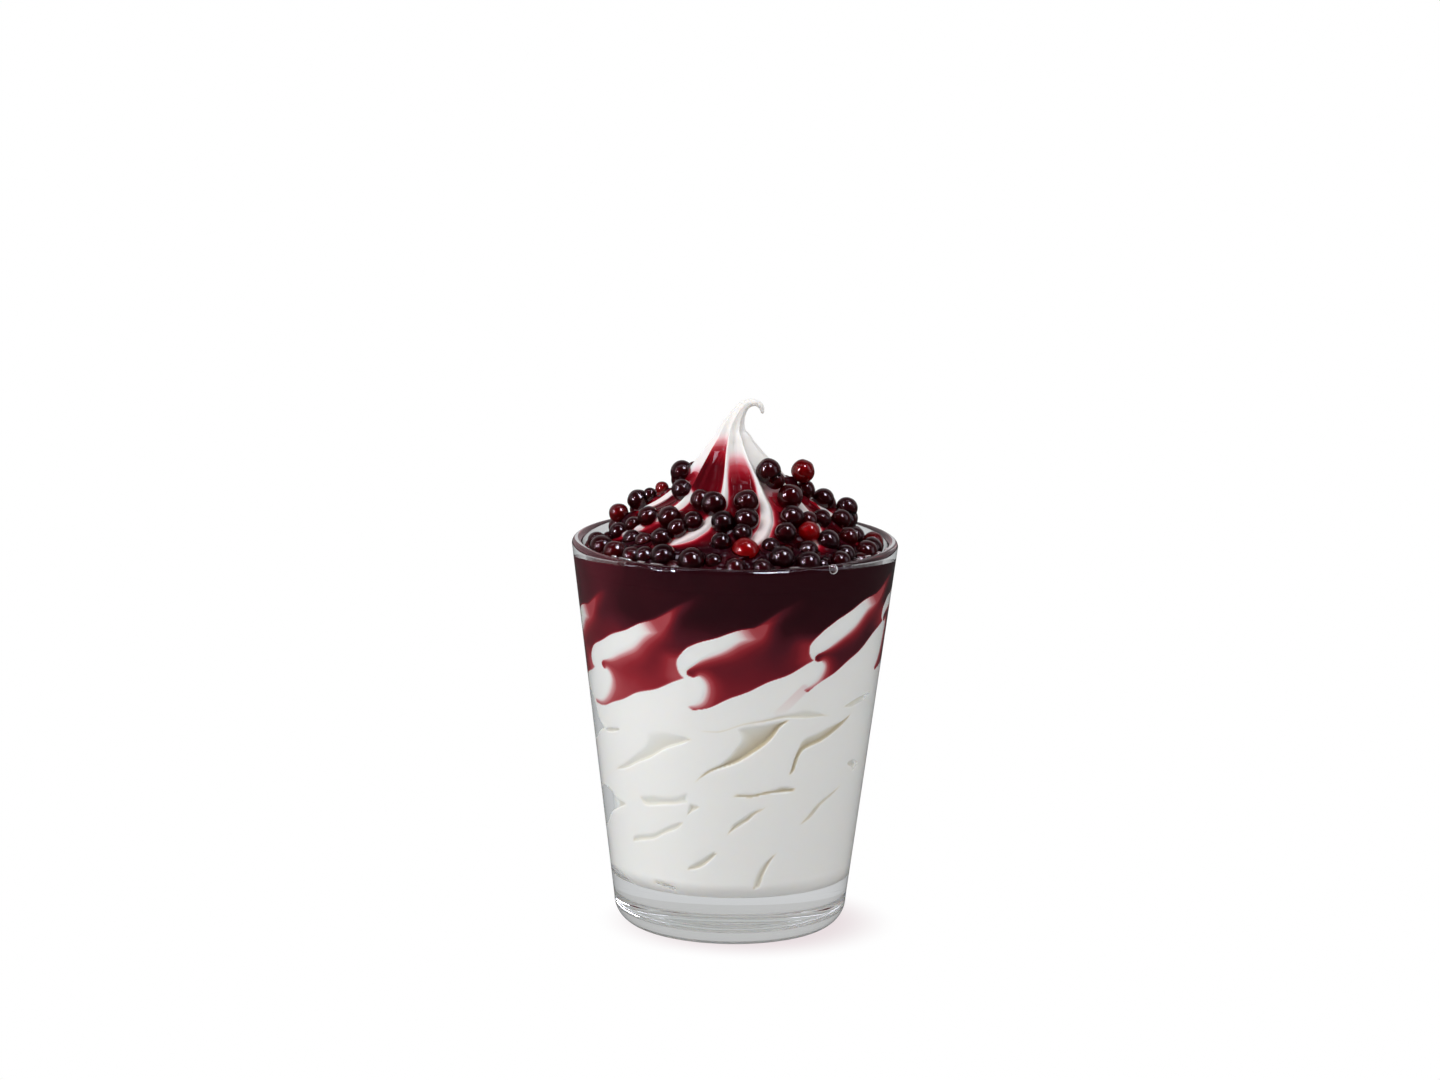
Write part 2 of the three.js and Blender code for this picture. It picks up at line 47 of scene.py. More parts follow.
# Tumbler
RIM_RADIUS = 46.0
GLASS_HEIGHT = 111.0
HEEL_TOP_RADIUS = 33.0
HEEL_ROUNDING = 7.4
LIP_ROUNDING = 1.5
WALL = 3.0
FLOOR_HEIGHT = 14.5
FLOOR_CORNER = 5.0
GLASS_SIDES = 360
HEEL_STEPS = 90
LIP_STEPS = 24
WALL_STEPS = 24
CORNER_STEPS = 20
FLAT_STEPS = 8
GLASS_TINTS = [(0.3, (0.978, 0.988, 0.986)), (0.7, (0.99, 0.994, 0.994))]
CLEAR_TINT = (0.97, 0.98, 0.98, 1)
GLASS_IOR = 1.5
CAUGHT_DEPTH = 2.5  # light that the glass has turned more often than this passes straight through

# What fills the glass reaches this far into its wall, so that no gap shows
REACH = 0.12

# Sauce against the glass
SAUCE_LEVEL = 106.8
SAUCE_BOTTOM = 58.0
SAUCE_THICK = 4.2
SAUCE_THIN = 1.4
THIN_HEIGHT = 70.0
THICK_HEIGHT = 96.0
SAUCE_LEAST = 0.02  # thinner sauce is left to the ice cream's own stain
SAUCE_MARGIN = 2  # cells by which the sauce goes on under the ice cream's edge
SAUCE_SUNK = 0.02

# Folds of ice cream that reach up into the sauce. Each begins at a neck, where its lens joins the ice
# cream below. The lens climbs to the right, with a rounded nose at its left end. Under it lies a tongue of
# sauce. Its left end runs from a finger round a bulge of ice cream to a tail, and its lower edge climbs to
# the next neck.
FOLD_RADIUS = 40.0
# azimuth and height of the neck; length, climb, hump and sag of the lens; where the finger begins; how far
# right the bulge reaches; the tail's place from the neck; how late the lower edge climbs; how thick the
# tongue is
FOLDS = [
    (-153.0, 82.0, 22.0, 0.66, 6.8, -1.0, 2.0, 5.0, -1.0, -8.6, 1.1, 0.8),
    (-104.6, 80.0, 24.0, 0.61, 6.5, -1.5, 3.0, 6.0, -1.5, -10.5, 1.2, 0.7),
    (-71.3, 77.1, 29.5, 0.633, 4.8, -3.0, 6.2, 9.2, -3.3, -10.1, 1.45, 0.42),
    (-19.5, 79.5, 20.3, 0.724, 7.6, 0.9, 1.6, 6.0, 0.7, -8.5, 1.15, 0.72),
    (33.5, 84.0, 23.6, 0.695, 7.4, -0.9, 1.0, 3.5, -2.7, -8.3, 0.9, 0.85),
    (77.3, 90.8, 20.0, 0.5, 6.0, 0.5, 0.8, 2.0, -2.6, -14.0, 1.2, 0.8),
    (120.0, 86.0, 22.0, 0.68, 7.2, -1.0, 1.8, 5.5, -0.5, -9.0, 1.1, 0.9),
    (163.0, 80.0, 25.0, 0.64, 6.6, -2.4, 3.4, 7.0, -1.8, -9.4, 1.3, 0.6),
]
NOSE = [(0, 0), (-1.2, 0.14), (-1.7, 0.4), (-1.2, 0.72)]  # left of the neck, and up as a share of the hump
NOSE_WIDTH = 1.7
LENS_SHARES = [0.05, 0.15, 0.3, 0.5, 0.7, 0.87, 1]
UNDER_STEPS = 6  # the lens's lower edge, from this share of its length, lifted towards the neck
UNDER_FROM = 0.92
NECK_LIFT = 1.6
FINGER_END = [(0, 0), (-0.8, -0.8), (-0.6, -1.8)]
LOWER_STEPS = 7
LINE_STEPS = 5
TONGUE_AFTER = 20  # a tongue is as thick as stated this many degrees after its neck
BAND_HEIGHTS = (89, 98)  # over these heights the tongues pass into the band
CRISP = 0.24  # how many millimetres into the sauce an edge reaches before the sauce is thick
EDGE_REACH = 3.2  # an edge thins the sauce as far as this many times its softness
SOFT_SIDE = 0.7  # a soft edge turns crisp over this width on its other side
TIP_SOFT = 4.0
TIP_STAIN = 0.5  # the lens reddens towards its tip
TIP_STAINED = 10.0
UNDER_SOFT = 5.5
FINGER_SOFT = 0.45
BULGE_SOFT = 3.6
# From the bulge to the tail: shares of the way along and down, and softness
BULGE_TO_TAIL = [(0, 0, BULGE_SOFT), (0.2, 0.45, BULGE_SOFT), (0.55, 0.8, 2.4)]
BULGE_HEIGHT = -2.0
CRISP_POWER = 1.2
SOFT_POWER = 2.3
NOSE_GLOW = 5.5  # how far left of a nose the sauce is thin
NOSE_THINNED = 0.7
STREAK_LENGTH = 14.0  # a thin streak runs on past the tip of a lens
STREAK_SOFT = 3.2
STREAK_CRISP = 0.9
STREAK_THINNED = 0.84
# thinning the band at the left lightens it there as a painted reflection of a pale wall on that side
LEFT_REFLECTION_THINNED = 0.42  # the band is thinner at the left, between these azimuths
LEFT_FROM = (-18, -62)
LEFT_TO = (-150, -120)
TAIL_FOLD = 4  # a thin stain runs on from the tail of this fold's tongue
TAIL_AZIMUTH = 19.0
TAIL_HEIGHT = 69.0
TAIL_FILM = 0.05
TAIL_WIDTH = 1.7

# Waves that keep the edges from running straight: size, count round, height for each radian, and phase
WAVES_ALONG = [(0.45, 7, 5.1, 0), (0.25, 16, -2.9, 0)]
WAVES_UP = [(0.35, 6, 9, 1), (0.2, 18, 4.1, 0)]
EVEN = 1e-9  # keeps a division from having nothing to divide by

# Creases between folds that are pressed against the glass: the crisp lower edge and the upper edge as azimuth
# and height, how deep it is, how steeply it ends at the upper edge (small is steep), and how dark its painted
# shade is
CREASES = [
    ([(-63, 47.1), (-58, 48.8), (-48, 51.5), (-35, 55.2), (-27, 57.7), (-17, 61.3)],
     [(-22, 62.6), (-30, 63), (-38, 61.7), (-40, 58.5), (-46, 55.6), (-57, 50.9)], 1.3, 1.5, 0.35),
    ([(-18, 47.2), (-11, 51.1), (-4, 53.6), (3, 55.9), (9, 57.7), (14, 59.7), (18, 62.1), (21, 64.7),
      (25, 66.7)],
     [(15, 66.5), (8, 66), (2, 65), (3, 62), (0, 59.6), (-6, 54.6), (-12, 51.8)], 2.2, 0.8, 0.9),
    ([(-22, 63.9), (-8, 64), (0, 65.2), (11, 66.7), (25, 67), (38, 66.9), (46, 66.3)],
     [(31, 70.1), (24, 68.9), (10, 67.6), (-6, 65)], 0.9, 1.2, 0.4),
    ([(26, 50.8), (29, 52), (31, 55.5), (34, 57.8), (45, 60.9), (54, 64.4), (60, 67)],
     [(43, 63.6), (36, 62.2), (31, 60.6), (29, 57.5)], 1.5, 0.7, 0.85),
    ([(0, 44.9), (8, 45), (14, 45.8), (22, 45.8), (31, 46.6)],
     [(24, 48.1), (18, 47.2), (9, 46.5), (3, 46)], 1.2, 0.5, 0.95),
    ([(-3, 32.5), (0, 34.1), (5, 35.9), (9, 37.7), (12, 40.2), (18, 43)],
     [(10, 41), (6, 38.6), (1, 36.4)], 1.1, 0.6, 0.6),
    ([(31, 35.4), (34, 36.2), (40, 37.8), (46, 40.4), (60, 45.6)],
     [(50, 43.5), (44, 41.6), (38, 39.4)], 1.0, 0.6, 0.5),
    ([(10, 17.3), (14, 18), (16, 20.6), (19, 23.8), (24, 28.9)],
     [(19, 26.4), (14, 23), (11, 20)], 1.1, 0.6, 0.5),
    ([(-22, 22.5), (-15, 23.8), (-10, 25.8), (-6, 28)],
     [(-9, 28.4), (-15, 26.5), (-20, 24.3)], 1.1, 0.6, 0.5),
    ([(-43, 16.9), (-36, 16.2), (-31, 16), (-26, 16.6)],
     [(-29, 17.6), (-34, 18), (-40, 17.9)], 0.9, 0.4, 0.35),
    ([(-46, 42.8), (-43, 40.5), (-37, 40.6), (-29, 41.8), (-20, 42.2)],
     [(-20, 45.2), (-26, 44.3), (-31, 43.9), (-39, 43.9)], 1.0, 1.2, 0.3),
    ([(-23, 37.4), (-20, 39.1), (-13, 41.2)],
     [(-17, 42), (-20, 42.2), (-21, 40)], 1.1, 0.7, 0.5),
    ([(-54, 27.8), (-49, 28.2), (-39, 30.4), (-33, 32.5), (-26, 34.8), (-22, 37.5)],
     [(-27, 36.8), (-33, 34.6), (-39, 32.6), (-46, 31), (-53, 29.6)], 1.0, 1.0, 0.35),
    ([(-92, 27), (-82, 29.5), (-71, 34.2), (-63, 36.6), (-53, 38.4)],
     [(-64, 39.6), (-70, 41.2), (-81, 41), (-92, 40)], 2.6, 0.25, 0.3),
    ([(-92, 54), (-82, 54.2), (-74, 57.4), (-68, 59.4)],
     [(-73, 61.4), (-76, 65), (-82, 68.4), (-92, 68)], 2.4, 0.25, 0.3),
    ([(-68, 58.6), (-62, 59.6), (-55, 60.6)], [(-56, 61.4), (-62, 61.2), (-67, 60)], 2.0, 0.25, 0.4),
    ([(59, 50.8), (64, 50), (66, 48.7), (71, 50.2)], [(66, 52.2), (60, 51.8)], 2.2, 0.3, 0.4),
    ([(51, 69.2), (58, 68.3), (68, 68.8), (75, 70.6)], [(66, 70.6), (56, 70)], 1.8, 0.5, 0.4),
    ([(-92, 14.6), (-76, 14.6), (-58, 14.6)],
     [(-62, 16.4), (-70, 17.6), (-81, 17.4), (-92, 17)], 2.2, 0.3, 0.5),
]
CREASE_REACH = 42  # no crease is longer than this from its middle
CREASE_EDGE = 0.7  # how wide the slope at a crisp edge is
CREASE_DEPTH = 0.85
# strength of the painted shade in the creases
CREASE_SHADE = 1.35
# the dark line along a crease's crisp edge is painted shade
LINE_WIDTH = 0.4  # a dark line lies this wide along the crisp edge
BACK_CREASES = 13
BACK_CREASE_PLACES = 5
FIRST_BACK_AZIMUTH = 92.0
LAST_BACK_AZIMUTH = 262.0
LOWEST_CREASE = 22.0
HIGHEST_CREASE = 68.0
CREASE_SEED = 977

# Peak: the radius of its ridges' crests at heights above the foot
CREST_OUTLINE = [
    (98, 40.6), (104, 38.8), (108, 37), (112, 34), (116, 30.2), (119, 26),
    (122, 21.4), (126, 16.8), (131, 12.8), (135, 9.4), (139, 6.2),
]
RIDGES = 9
FIRST_RIDGE = -12.0
RIDGE_FROM_HEIGHT = 103.0
RIDGE_FULL_HEIGHT = 114.0
VALLEY_SHARE = 0.36
VALLEY_DEEPEST = 5.0
CREST_ROUNDING = 0.1
ROPE_ROUNDING = 0.32  # lower down the ridges are wider ropes
ROPE_TOP = 133.0
ROPE_BOTTOM = 119.0
TWIST = 22.0
TWIST_TOP = 124.0
TWIST_HEIGHT = 10.0
TWIST_BOTTOM = 106.0
LEAN_FROM_HEIGHT = 126.0
LEAN = -1.1

# Tip: places of its middle line along X and Z, and its radius there
TIP = [
    (-1.1, 139, 6.2), (-1, 142.6, 3.8), (0.3, 146.4, 2.3), (2.3, 149.3, 1.5),
    (4.9, 150.05, 1.02), (6.7, 149, 0.8), (7.2, 147.3, 0.5),
]
TIP_RINGS = 60
ICE_SIDES = 720
SAUCE_ROWS = 150
FILLING_ROWS = 84
CORNER_ROWS = 14
PEAK_ROWS = 110

# Syrup between the pearls
SYRUP_FOOT = 104.0
SYRUP_TOP = 137.0
SYRUP_SIDES = 640
SYRUP_ROWS = 150
SYRUP_SHARE = 0.3
SYRUP_SLOPE = 6.0  # how high it climbs from the glass to the heap
SYRUP_FILLS = 4.0  # it fills the valleys this deep, less between these heights
SYRUP_FILLS_HEIGHTS = (112, 124)
SYRUP_SUNK = 0.3  # where it is thin it hides in the ice cream
SYRUP_SEEN = 0.8  # its colour shows this share of its thickness
SIDE_LEVEL = 105.6
FRONT_HIGHER = 0.3
FRONT_RISE = 3.0

# Film of sauce on the peak. It grows downwards from the top that each valley has.
FILM_TOPS = (138, 128.5, 131, 128, 127, 132, 133, 133.5, 142.5)
FILM_GROWTH = 0.012
FILM_POWER = 2.3
FILM_THICKEST = 2.0
FILM_EDGE = 0.42  # over this much of a valley's shape it reaches its full thickness
BARE_BELOW = 0.3  # how much of a ridge stays bare below and above these heights
BARE_ABOVE = 0.06
BARE_HEIGHTS = (120, 134)
ROPE_FILM = 0.035  # a trace of syrup on the bare ropes, full below the second height
ROPE_FILM_HEIGHTS = (127, 112)
OVER_LEFT_RIDGE = 15.0  # the sauce left of the middle reaches this many degrees over its ridge
OVER_FROM = (7.4, 7.85)
OVER_TO = (8.8, 8.1)
OVER_HEIGHTS = (125, 131)
MENISCUS_RISE = 0.6
MENISCUS_WIDTH = 0.45

# Pearls
PEARL_SUNK = 0.28
PEARL_STEP = 0.2
PEARL_STEPS = 16
SLOPE_STEP = 0.5
WALL_CLEARANCE = 0.1
BARE_CREST_HEIGHT = 111.0
BARE_CREST_SHAPE = 0.55
PEARL_SEED = 20611
# Random ones on the syrup, and smaller ones sunk in it: how many rounds, the share of them that isn't red,
# tries for each, smallest and largest radius, lowest height, how far the highest lie under the heap's top,
# how far they stand out for their radius, and how near they come to others
ON_SYRUP = (170, 0.9, 90, (2.7, 3.7), 109.4, 0, 0, 0.95)
IN_SYRUP = (90, 1, 30, (2.2, 3.0), 108.4, 4, -0.45, 0.8)
RED_PEARL = 0.9
DARK_PEARL = 0.4  # the others are red up to this
LIP_PEARL_HEIGHT = 113.0
LIP_PEARL_AZIMUTH = 75
LIP_PEARL_LARGER = 1.08
LIP_PEARL_LOWER = 0.6
DENT_SEED = 4711
PEARL_DENT = 0.02
PEARL_SQUASH = 0.05
CORE_SIZE = 0.76
HEAPED_MOST = 3  # the syrup heaps up this high under a pearl that stands out
HEAP_HEIGHT = 126  # the highest random pearls, lower in front, in a wave round the heap
HEAP_LOWER = 3
HEAP_WAVE = 1.5

# Ropes of ice cream that show between the pearls, as two ends across and up as seen from the front
ROPES_SEEN = [
    ((-17.3, 119.4), (-28.3, 114.6)), ((-24.1, 109.8), (-30.8, 104.6)), ((-5.7, 111.1), (-12.8, 102.7)),
    ((5.3, 130.4), (10.5, 120.1)), ((10.5, 120.1), (12.1, 113.6)), ((12.1, 113.6), (7.9, 105.9)),
    ((17.9, 126.6), (27.5, 107.8)),
]
ROPE_WIDTH = 1.5
HIDING_BEFORE = 14.0  # pearls further back hide nothing

# The glass's far wall shows this far from the middle and above this height in the camera's view
WALL_SEEN_FROM = 34.0
WALL_SEEN_ABOVE = 110.6

# Pearls placed one by one: azimuth, distance from the axis, height, radius, how far it stands out of the
# syrup,
# and how red it is
MARKED_PEARLS = [
    (-97, 15.3, 129.5, 3.3, 0.7, 0.1), (-61, 17.2, 126.3, 3.1, 0.0, 0.1), (-103, 21.4, 124.3, 1.9, 1.8, 0.8),
    (-105, 28.6, 120.3, 3.1, 1.8, 0.1), (-106, 25.2, 121.9, 2.1, 1.7, 0.1), (-99, 33.4, 116.9, 2.8, 2.4, 0.6),
    (-64, 27.1, 119.1, 3.1, 0.0, 0.2), (-45, 25.8, 120.2, 3.4, 0.0, 0.2), (-72, 30.1, 116.3, 2.3, 0.0, 0.2),
    (-80, 33.2, 113.6, 2.8, 0.0, 0.1), (-27, 25.7, 120.0, 3.0, 0.0, 0.1), (-31, 18.7, 125.0, 3.1, 0.0, 0.3),
    (-18, 19.7, 124.4, 3.6, 0.0, 0.1), (-8, 25.1, 120.5, 3.3, 0.0, 0.0), (9, 18.9, 125.1, 3.6, 0.0, 0.2),
    (7, 24.5, 121.1, 3.6, 0.0, 0.1), (46, 12.7, 132.1, 3.6, 0.0, 0.2), (51, 14.1, 129.6, 2.8, 0.0, 0.3),
    (99, 19.1, 130.1, 3.3, 4.0, 0.7), (54, 18.8, 125.3, 3.7, 0.0, 0.3), (40, 24.5, 121.0, 3.4, 0.0, 0.1),
    (29, 29.0, 117.8, 3.1, 0.0, 0.1), (103, 20.1, 124.4, 2.8, 0.6, 0.2), (105, 25.7, 121.5, 3.1, 1.1, 0.1),
    (101, 32.1, 119.1, 3.1, 3.0, 0.1), (100, 31.5, 116.1, 3.4, 0.3, 0.1), (64, 26.7, 119.2, 2.8, 0.0, 0.1),
    (52, 32.7, 114.4, 3.4, 0.0, 0.0), (83, 34.0, 113.0, 2.7, 0.0, 0.1), (87, 38.9, 111.0, 3.0, 0.0, 0.6),
    (68, 38.7, 111.2, 3.1, 0.0, 0.2), (47, 39.0, 110.9, 2.8, 0.0, 0.1), (31, 38.5, 111.4, 3.4, 0.0, 0.0),
    (36, 34.1, 113.2, 3.1, 0.0, 0.1), (21, 35.4, 112.8, 3.4, 0.0, 0.0), (18, 31.9, 114.7, 2.7, 0.0, 0.1),
    (5, 33.8, 113.9, 4.0, 0.0, 0.9), (11, 38.8, 110.9, 2.7, 0.0, 0.1), (-7, 31.1, 115.8, 3.0, 0.0, 0.0),
    (-18, 37.3, 112.1, 3.6, 0.0, 0.1), (-9, 36.1, 111.9, 2.4, 0.0, 0.1), (-32, 36.3, 112.4, 3.4, 0.0, 0.0),
    (-40, 31.6, 115.4, 3.1, 0.0, 0.1), (-41, 36.9, 111.7, 2.7, 0.0, 0.1), (-47, 38.0, 111.3, 2.7, 0.0, 0.3),
    (-58, 38.4, 111.3, 3.0, 0.0, 0.4), (-82, 39.2, 110.8, 2.7, 0.0, 0.2), (-81, 35.9, 111.7, 1.9, 0.0, 0.1),
]
# More of them, placed after the random ones on the syrup
ADDED_PEARLS = [(-62, 32.4, 113.2, 2.9, 0.3, 0.1), (-51, 32.4, 113.7, 2.7, 0.3, 0.3)]

# Drops and smears on the lip: azimuth, distance from the axis, height, length, width, thickness and how red
DROPS = [
    (37.0, 44.9, 109.8, 1.5, 0.9, 1.4, 0.3), (58.0, 43.6, 111.0, 1.6, 0.5, 0.35, 0.5),
    (66.0, 43.9, 111.0, 1.1, 0.6, 0.4, 0.25), (52.0, 43.5, 110.9, 0.8, 0.5, 0.3, 0.9),
    (-43.0, 44.2, 111.1, 2.6, 0.5, 0.28, 0.1), (-36.0, 43.8, 111.0, 1.4, 0.7, 0.3, 0.16),
    (-29.0, 44.3, 111.1, 2.2, 0.45, 0.26, 0.1), (-22.0, 44.0, 111.0, 1.2, 0.6, 0.3, 0.2),
    (-50.0, 43.6, 111.0, 1.0, 0.6, 0.3, 0.3), (22.0, 44.0, 111.1, 1.6, 0.4, 0.24, 0.12),
    (74.0, 44.1, 111.0, 1.8, 0.5, 0.3, 0.2), (150.0, 43.9, 111.0, 1.5, 0.6, 0.3, 0.4),
    (-140.0, 43.9, 111.0, 1.9, 0.5, 0.3, 0.2),
]

# Camera
CAMERA_DISTANCE = 1567.8
CAMERA_ELEVATION = 13.242
CAMERA_AIM_HEIGHT = 50.6
CAMERA_TILT = 2.1505
CAMERA_PAN = 0.159
CAMERA_ROLL = -0.7994
LENS = 137.79

# Lamps: azimuth, elevation, distance, width, height, watts. Some light only softly, the others only glint.
LAMP_AIM_HEIGHT = 70.0
SOFT_LAMPS = [
    ("key_light", -38, 48, 0.95, 0.45, 0.45, 4.6),
    ("left_light", -82, 14, 0.9, 0.5, 0.8, 2.0),
    ("right_light", 75, 25, 1.1, 0.3, 0.6, 2.2),
]
GLINT_LAMPS = [
    ("line_glint", 0, 84, 0.9, 1.6, 0.05, 1.5),
    ("window_glint", 36, 56, 1.0, 0.28, 0.36, 9.0),
    ("left_glint", -54, 14, 1.0, 0.08, 0.07, 3.0),
    ("left_spark", -62, 27, 1.0, 0.06, 0.06, 2.4),
    ("low_spark", -44, 26, 1.0, 0.05, 0.05, 1.8),
    ("high_spark", -50, 42, 1.0, 0.05, 0.05, 1.8),
    ("right_glint", 78, 22, 1.0, 0.4, 0.7, 1.0),
    ("left_side_glint", -78, 20, 1.0, 0.12, 0.6, 0.8),
]
GLINT_COLOUR = (0.86, 0.84, 1.0)

# Brightness of the surroundings as the surfaces reflect it, as it shows through the glass, and as it lights
AROUND_REFLECTED = 0.035
BEHIND_REFLECTED = 0.5
LEFT_REFLECTED = 0.22
# Axis of the surroundings, where the brightness begins to change and where it ends, and the brightness there
REFLECTED_PARTS = [
    ("Y", 0.25, 0.75, AROUND_REFLECTED, BEHIND_REFLECTED),
    ("X", -0.45, -0.95, 0.0, LEFT_REFLECTED),
]
REFLECTED_COLOUR = (1.0, 0.86, 0.9, 1)
AROUND_THROUGH_GLASS = 0.7
AROUND_SOFT = 0.66
FLOOR_REFLECTED = 0.06
FLOOR_THROUGH_GLASS = 0.66
FLOOR_COLOUR_THROUGH = (0.98, 0.985, 1, 1)
FLOOR_COLOUR = (0.5, 0.49, 0.49, 1)
FLOOR_HALF = 8.0  # metres
FLOOR_LEVEL = -0.0001
# These four numbers paint a faint shadow on the floor beside the foot
PAINTED_SHADOW_MOVED = 5.0  # a faint pinkish shade on the floor, to the right of the foot
PAINTED_SHADOW_FROM = 22.0
PAINTED_SHADOW_TO = 44.0
PAINTED_SHADOW_COLOUR = (0.8, 0.72, 0.74)
SENSOR = 36.0


# --- forms

def smoothstep(x, low, high):
    t = np.clip((np.asarray(x, float) - low) / (high - low), 0, 1)
    return t * t * (3 - 2 * t)


def lerp(a, b, t):
    return a + (b - a) * t


def draws(seed):
    state = seed
    while True:
        state = (state * 48271) % 2147483647
        yield state / 2147483647


def follow(rows, at):
    """A smooth curve through rows of (place, value), read at many places"""
    xs = np.array([row[0] for row in rows], float)
    ys = np.array([row[1] for row in rows], float)
    last = len(xs) - 1
    low = np.maximum(np.arange(len(xs)) - 1, 0)
    high = np.minimum(np.arange(len(xs)) + 1, last)
    slopes = (ys[high] - ys[low]) / (xs[high] - xs[low])
    at = np.clip(np.asarray(at, float), xs[0], xs[last])
    i = np.clip(np.searchsorted(xs, at, side="left") - 1, 0, last - 1)
    step = xs[i + 1] - xs[i]
    t = (at - xs[i]) / step
    rise = ys[i + 1] - ys[i]
    a = slopes[i] * step - rise
    b = rise - slopes[i + 1] * step
    return ys[i] + t * rise + t * (1 - t) * (a * (1 - t) + b * t)


def turned_from(azimuth, middle=0):
    """Degrees from a middle azimuth, between -180 and 180"""
    return (azimuth - middle + 180) % 360 - 180


def outer_radius(z):
    wall_height = GLASS_HEIGHT - LIP_ROUNDING - HEEL_ROUNDING
    return HEEL_TOP_RADIUS + (RIM_RADIUS - HEEL_TOP_RADIUS) * (z - HEEL_ROUNDING) / wall_height


def cavity_radius(z):
    z = np.asarray(z, float)
    wall = outer_radius(np.maximum(z, FLOOR_HEIGHT + FLOOR_CORNER)) - WALL
    drop = FLOOR_CORNER - np.clip(z - FLOOR_HEIGHT, 0, FLOOR_CORNER)
    rounded = wall - FLOOR_CORNER + np.sqrt(FLOOR_CORNER**2 - drop**2)
    return np.where(z >= FLOOR_HEIGHT + FLOOR_CORNER, wall, rounded)


def smooth_line(rows, steps):
    """A smooth line through rows of numbers"""
    rows = np.array(rows, float)
    padded = np.concatenate([rows[:1] * 2 - rows[1:2], rows, rows[-1:] * 2 - rows[-2:-1]])
    made = []
    for a, b, c, d in zip(padded, padded[1:], padded[2:], padded[3:]):
        bend = a - 2.5 * b + 2 * c - d / 2
        turn = 1.5 * (b - c) + (d - a) / 2
        made += [b + t * (c - a) / 2 + t**2 * bend + t**3 * turn for t in np.arange(steps) / steps]
    return np.array(made + [rows[-1]])


def fold_line(fold, following):
    """The edge of the sauce from one neck to the next, as rows of place, height and softness"""
    azimuth, height, length, climb, hump, sag, finger, bulge, tail_x, tail_z, late, _ = fold
    first = math.radians(azimuth) * FOLD_RADIUS
    last = first + math.radians((following[0] - azimuth) % 360) * FOLD_RADIUS
    top = [(x, hump * up, CRISP) for x, up in NOSE]
    for share in LENS_SHARES:
        x = share * length
        top.append((x, climb * x + hump * (1 - share**1.5), CRISP))
    under = [(length, climb * length, TIP_SOFT)]
    for t in np.arange(UNDER_STEPS) / (UNDER_STEPS - 1):
        x = lerp(UNDER_FROM * length, finger, t)
        share = x / length
        sagging = sag * math.sin(math.pi * share**0.8) + NECK_LIFT * (1 - share) ** 2
        under.append((x, climb * x + sagging, lerp(UNDER_SOFT, FINGER_SOFT, t**2)))
    low = under[-1][1]
    end = [(finger + x, low + z, FINGER_SOFT) for x, z in FINGER_END]
    end += [
        (lerp(finger, bulge, 0.3), low - 2.4, FINGER_SOFT),
        (lerp(finger, bulge, 0.75), low - 2.3, lerp(FINGER_SOFT, BULGE_SOFT, 0.4)),
    ]
    end += [(lerp(bulge, tail_x, x), lerp(BULGE_HEIGHT, tail_z, z), soft) for x, z, soft in BULGE_TO_TAIL]
    end += [(tail_x, tail_z, 1.4), (tail_x + 0.7, tail_z - 0.8, 0.8)]
    lower = [
        (lerp(tail_x + 1.4, last - first, t), lerp(tail_z - 1, following[1] - height, t**late), CRISP)
        for t in np.linspace(0, 1, LOWER_STEPS)
    ]
    rows = np.concatenate([smooth_line(part, LINE_STEPS) for part in (top, under, end, lower)])
    return rows + [first, height, 0]


def sauce_edges():
    """The edges' short pieces all round: two ends of place, height and softness"""
    line = np.concatenate([fold_line(fold, FOLDS[(i + 1) % len(FOLDS)]) for i, fold in enumerate(FOLDS)])
    pieces = np.stack([line[:-1], line[1:]], 1)
    return np.concatenate([pieces + [turn * 2 * math.pi * FOLD_RADIUS, 0, 0] for turn in (-1, 0, 1)])


EDGES = sauce_edges()


def waves(rows, turn, z):
    return sum(size * np.sin(count * turn + phase + z / height) for size, count, height, phase in rows)


def waved(azimuth, z):
    """Moves places along the glass a little, so that no edge runs straight"""
    turn = np.radians(azimuth)
    return azimuth + np.degrees(waves(WAVES_ALONG, turn, z) / FOLD_RADIUS), z + waves(WAVES_UP, turn, z)


def band_share(azimuth):
    """The band under the rim is thinner at the left, which lightens it there as a painted reflection"""
    turned = turned_from(azimuth)
    return 1 - LEFT_REFLECTION_THINNED * smoothstep(turned, *LEFT_FROM) * smoothstep(turned, *LEFT_TO)


def sauce_share(x, z):
    """Where the sauce is, and its share of full thickness near its edges"""
    above = np.zeros(x.shape, int)
    share = np.ones(x.shape)
    low, high = x.min(), x.max()
    for (ax, az, a_soft), (bx, bz, b_soft) in EDGES:
        reach = EDGE_REACH * max(a_soft, b_soft)
        if max(ax, bx) + reach < low or min(ax, bx) - reach > high:
            continue
        crossed = (x >= min(ax, bx)) & (x < max(ax, bx))
        if crossed.any():
            line = az + (bz - az) * (x[crossed] - ax) / (bx - ax)
            above[crossed] += z[crossed] < line
        near = (x > min(ax, bx) - reach) & (x < max(ax, bx) + reach)
        near &= (z > min(az, bz) - reach) & (z < max(az, bz) + reach)
        if near.any():
            px, pz = x[near], z[near]
            dx, dz = bx - ax, bz - az
            t = np.clip(((px - ax) * dx + (pz - az) * dz) / (dx * dx + dz * dz + EVEN), 0, 1)
            away = np.hypot(px - ax - t * dx, pz - az - t * dz)
            side = (dx * (pz - az) - dz * (px - ax)) / (math.hypot(dx, dz) + EVEN)
            soft = lerp(CRISP, lerp(a_soft, b_soft, t), smoothstep(side, -SOFT_SIDE, SOFT_SIDE))
            power = lerp(CRISP_POWER, SOFT_POWER, smoothstep(soft, 0.4, 4))
            share[near] = np.minimum(share[near], 1 - np.exp(-((away / soft) ** power)))
    return above % 2 == 0, share


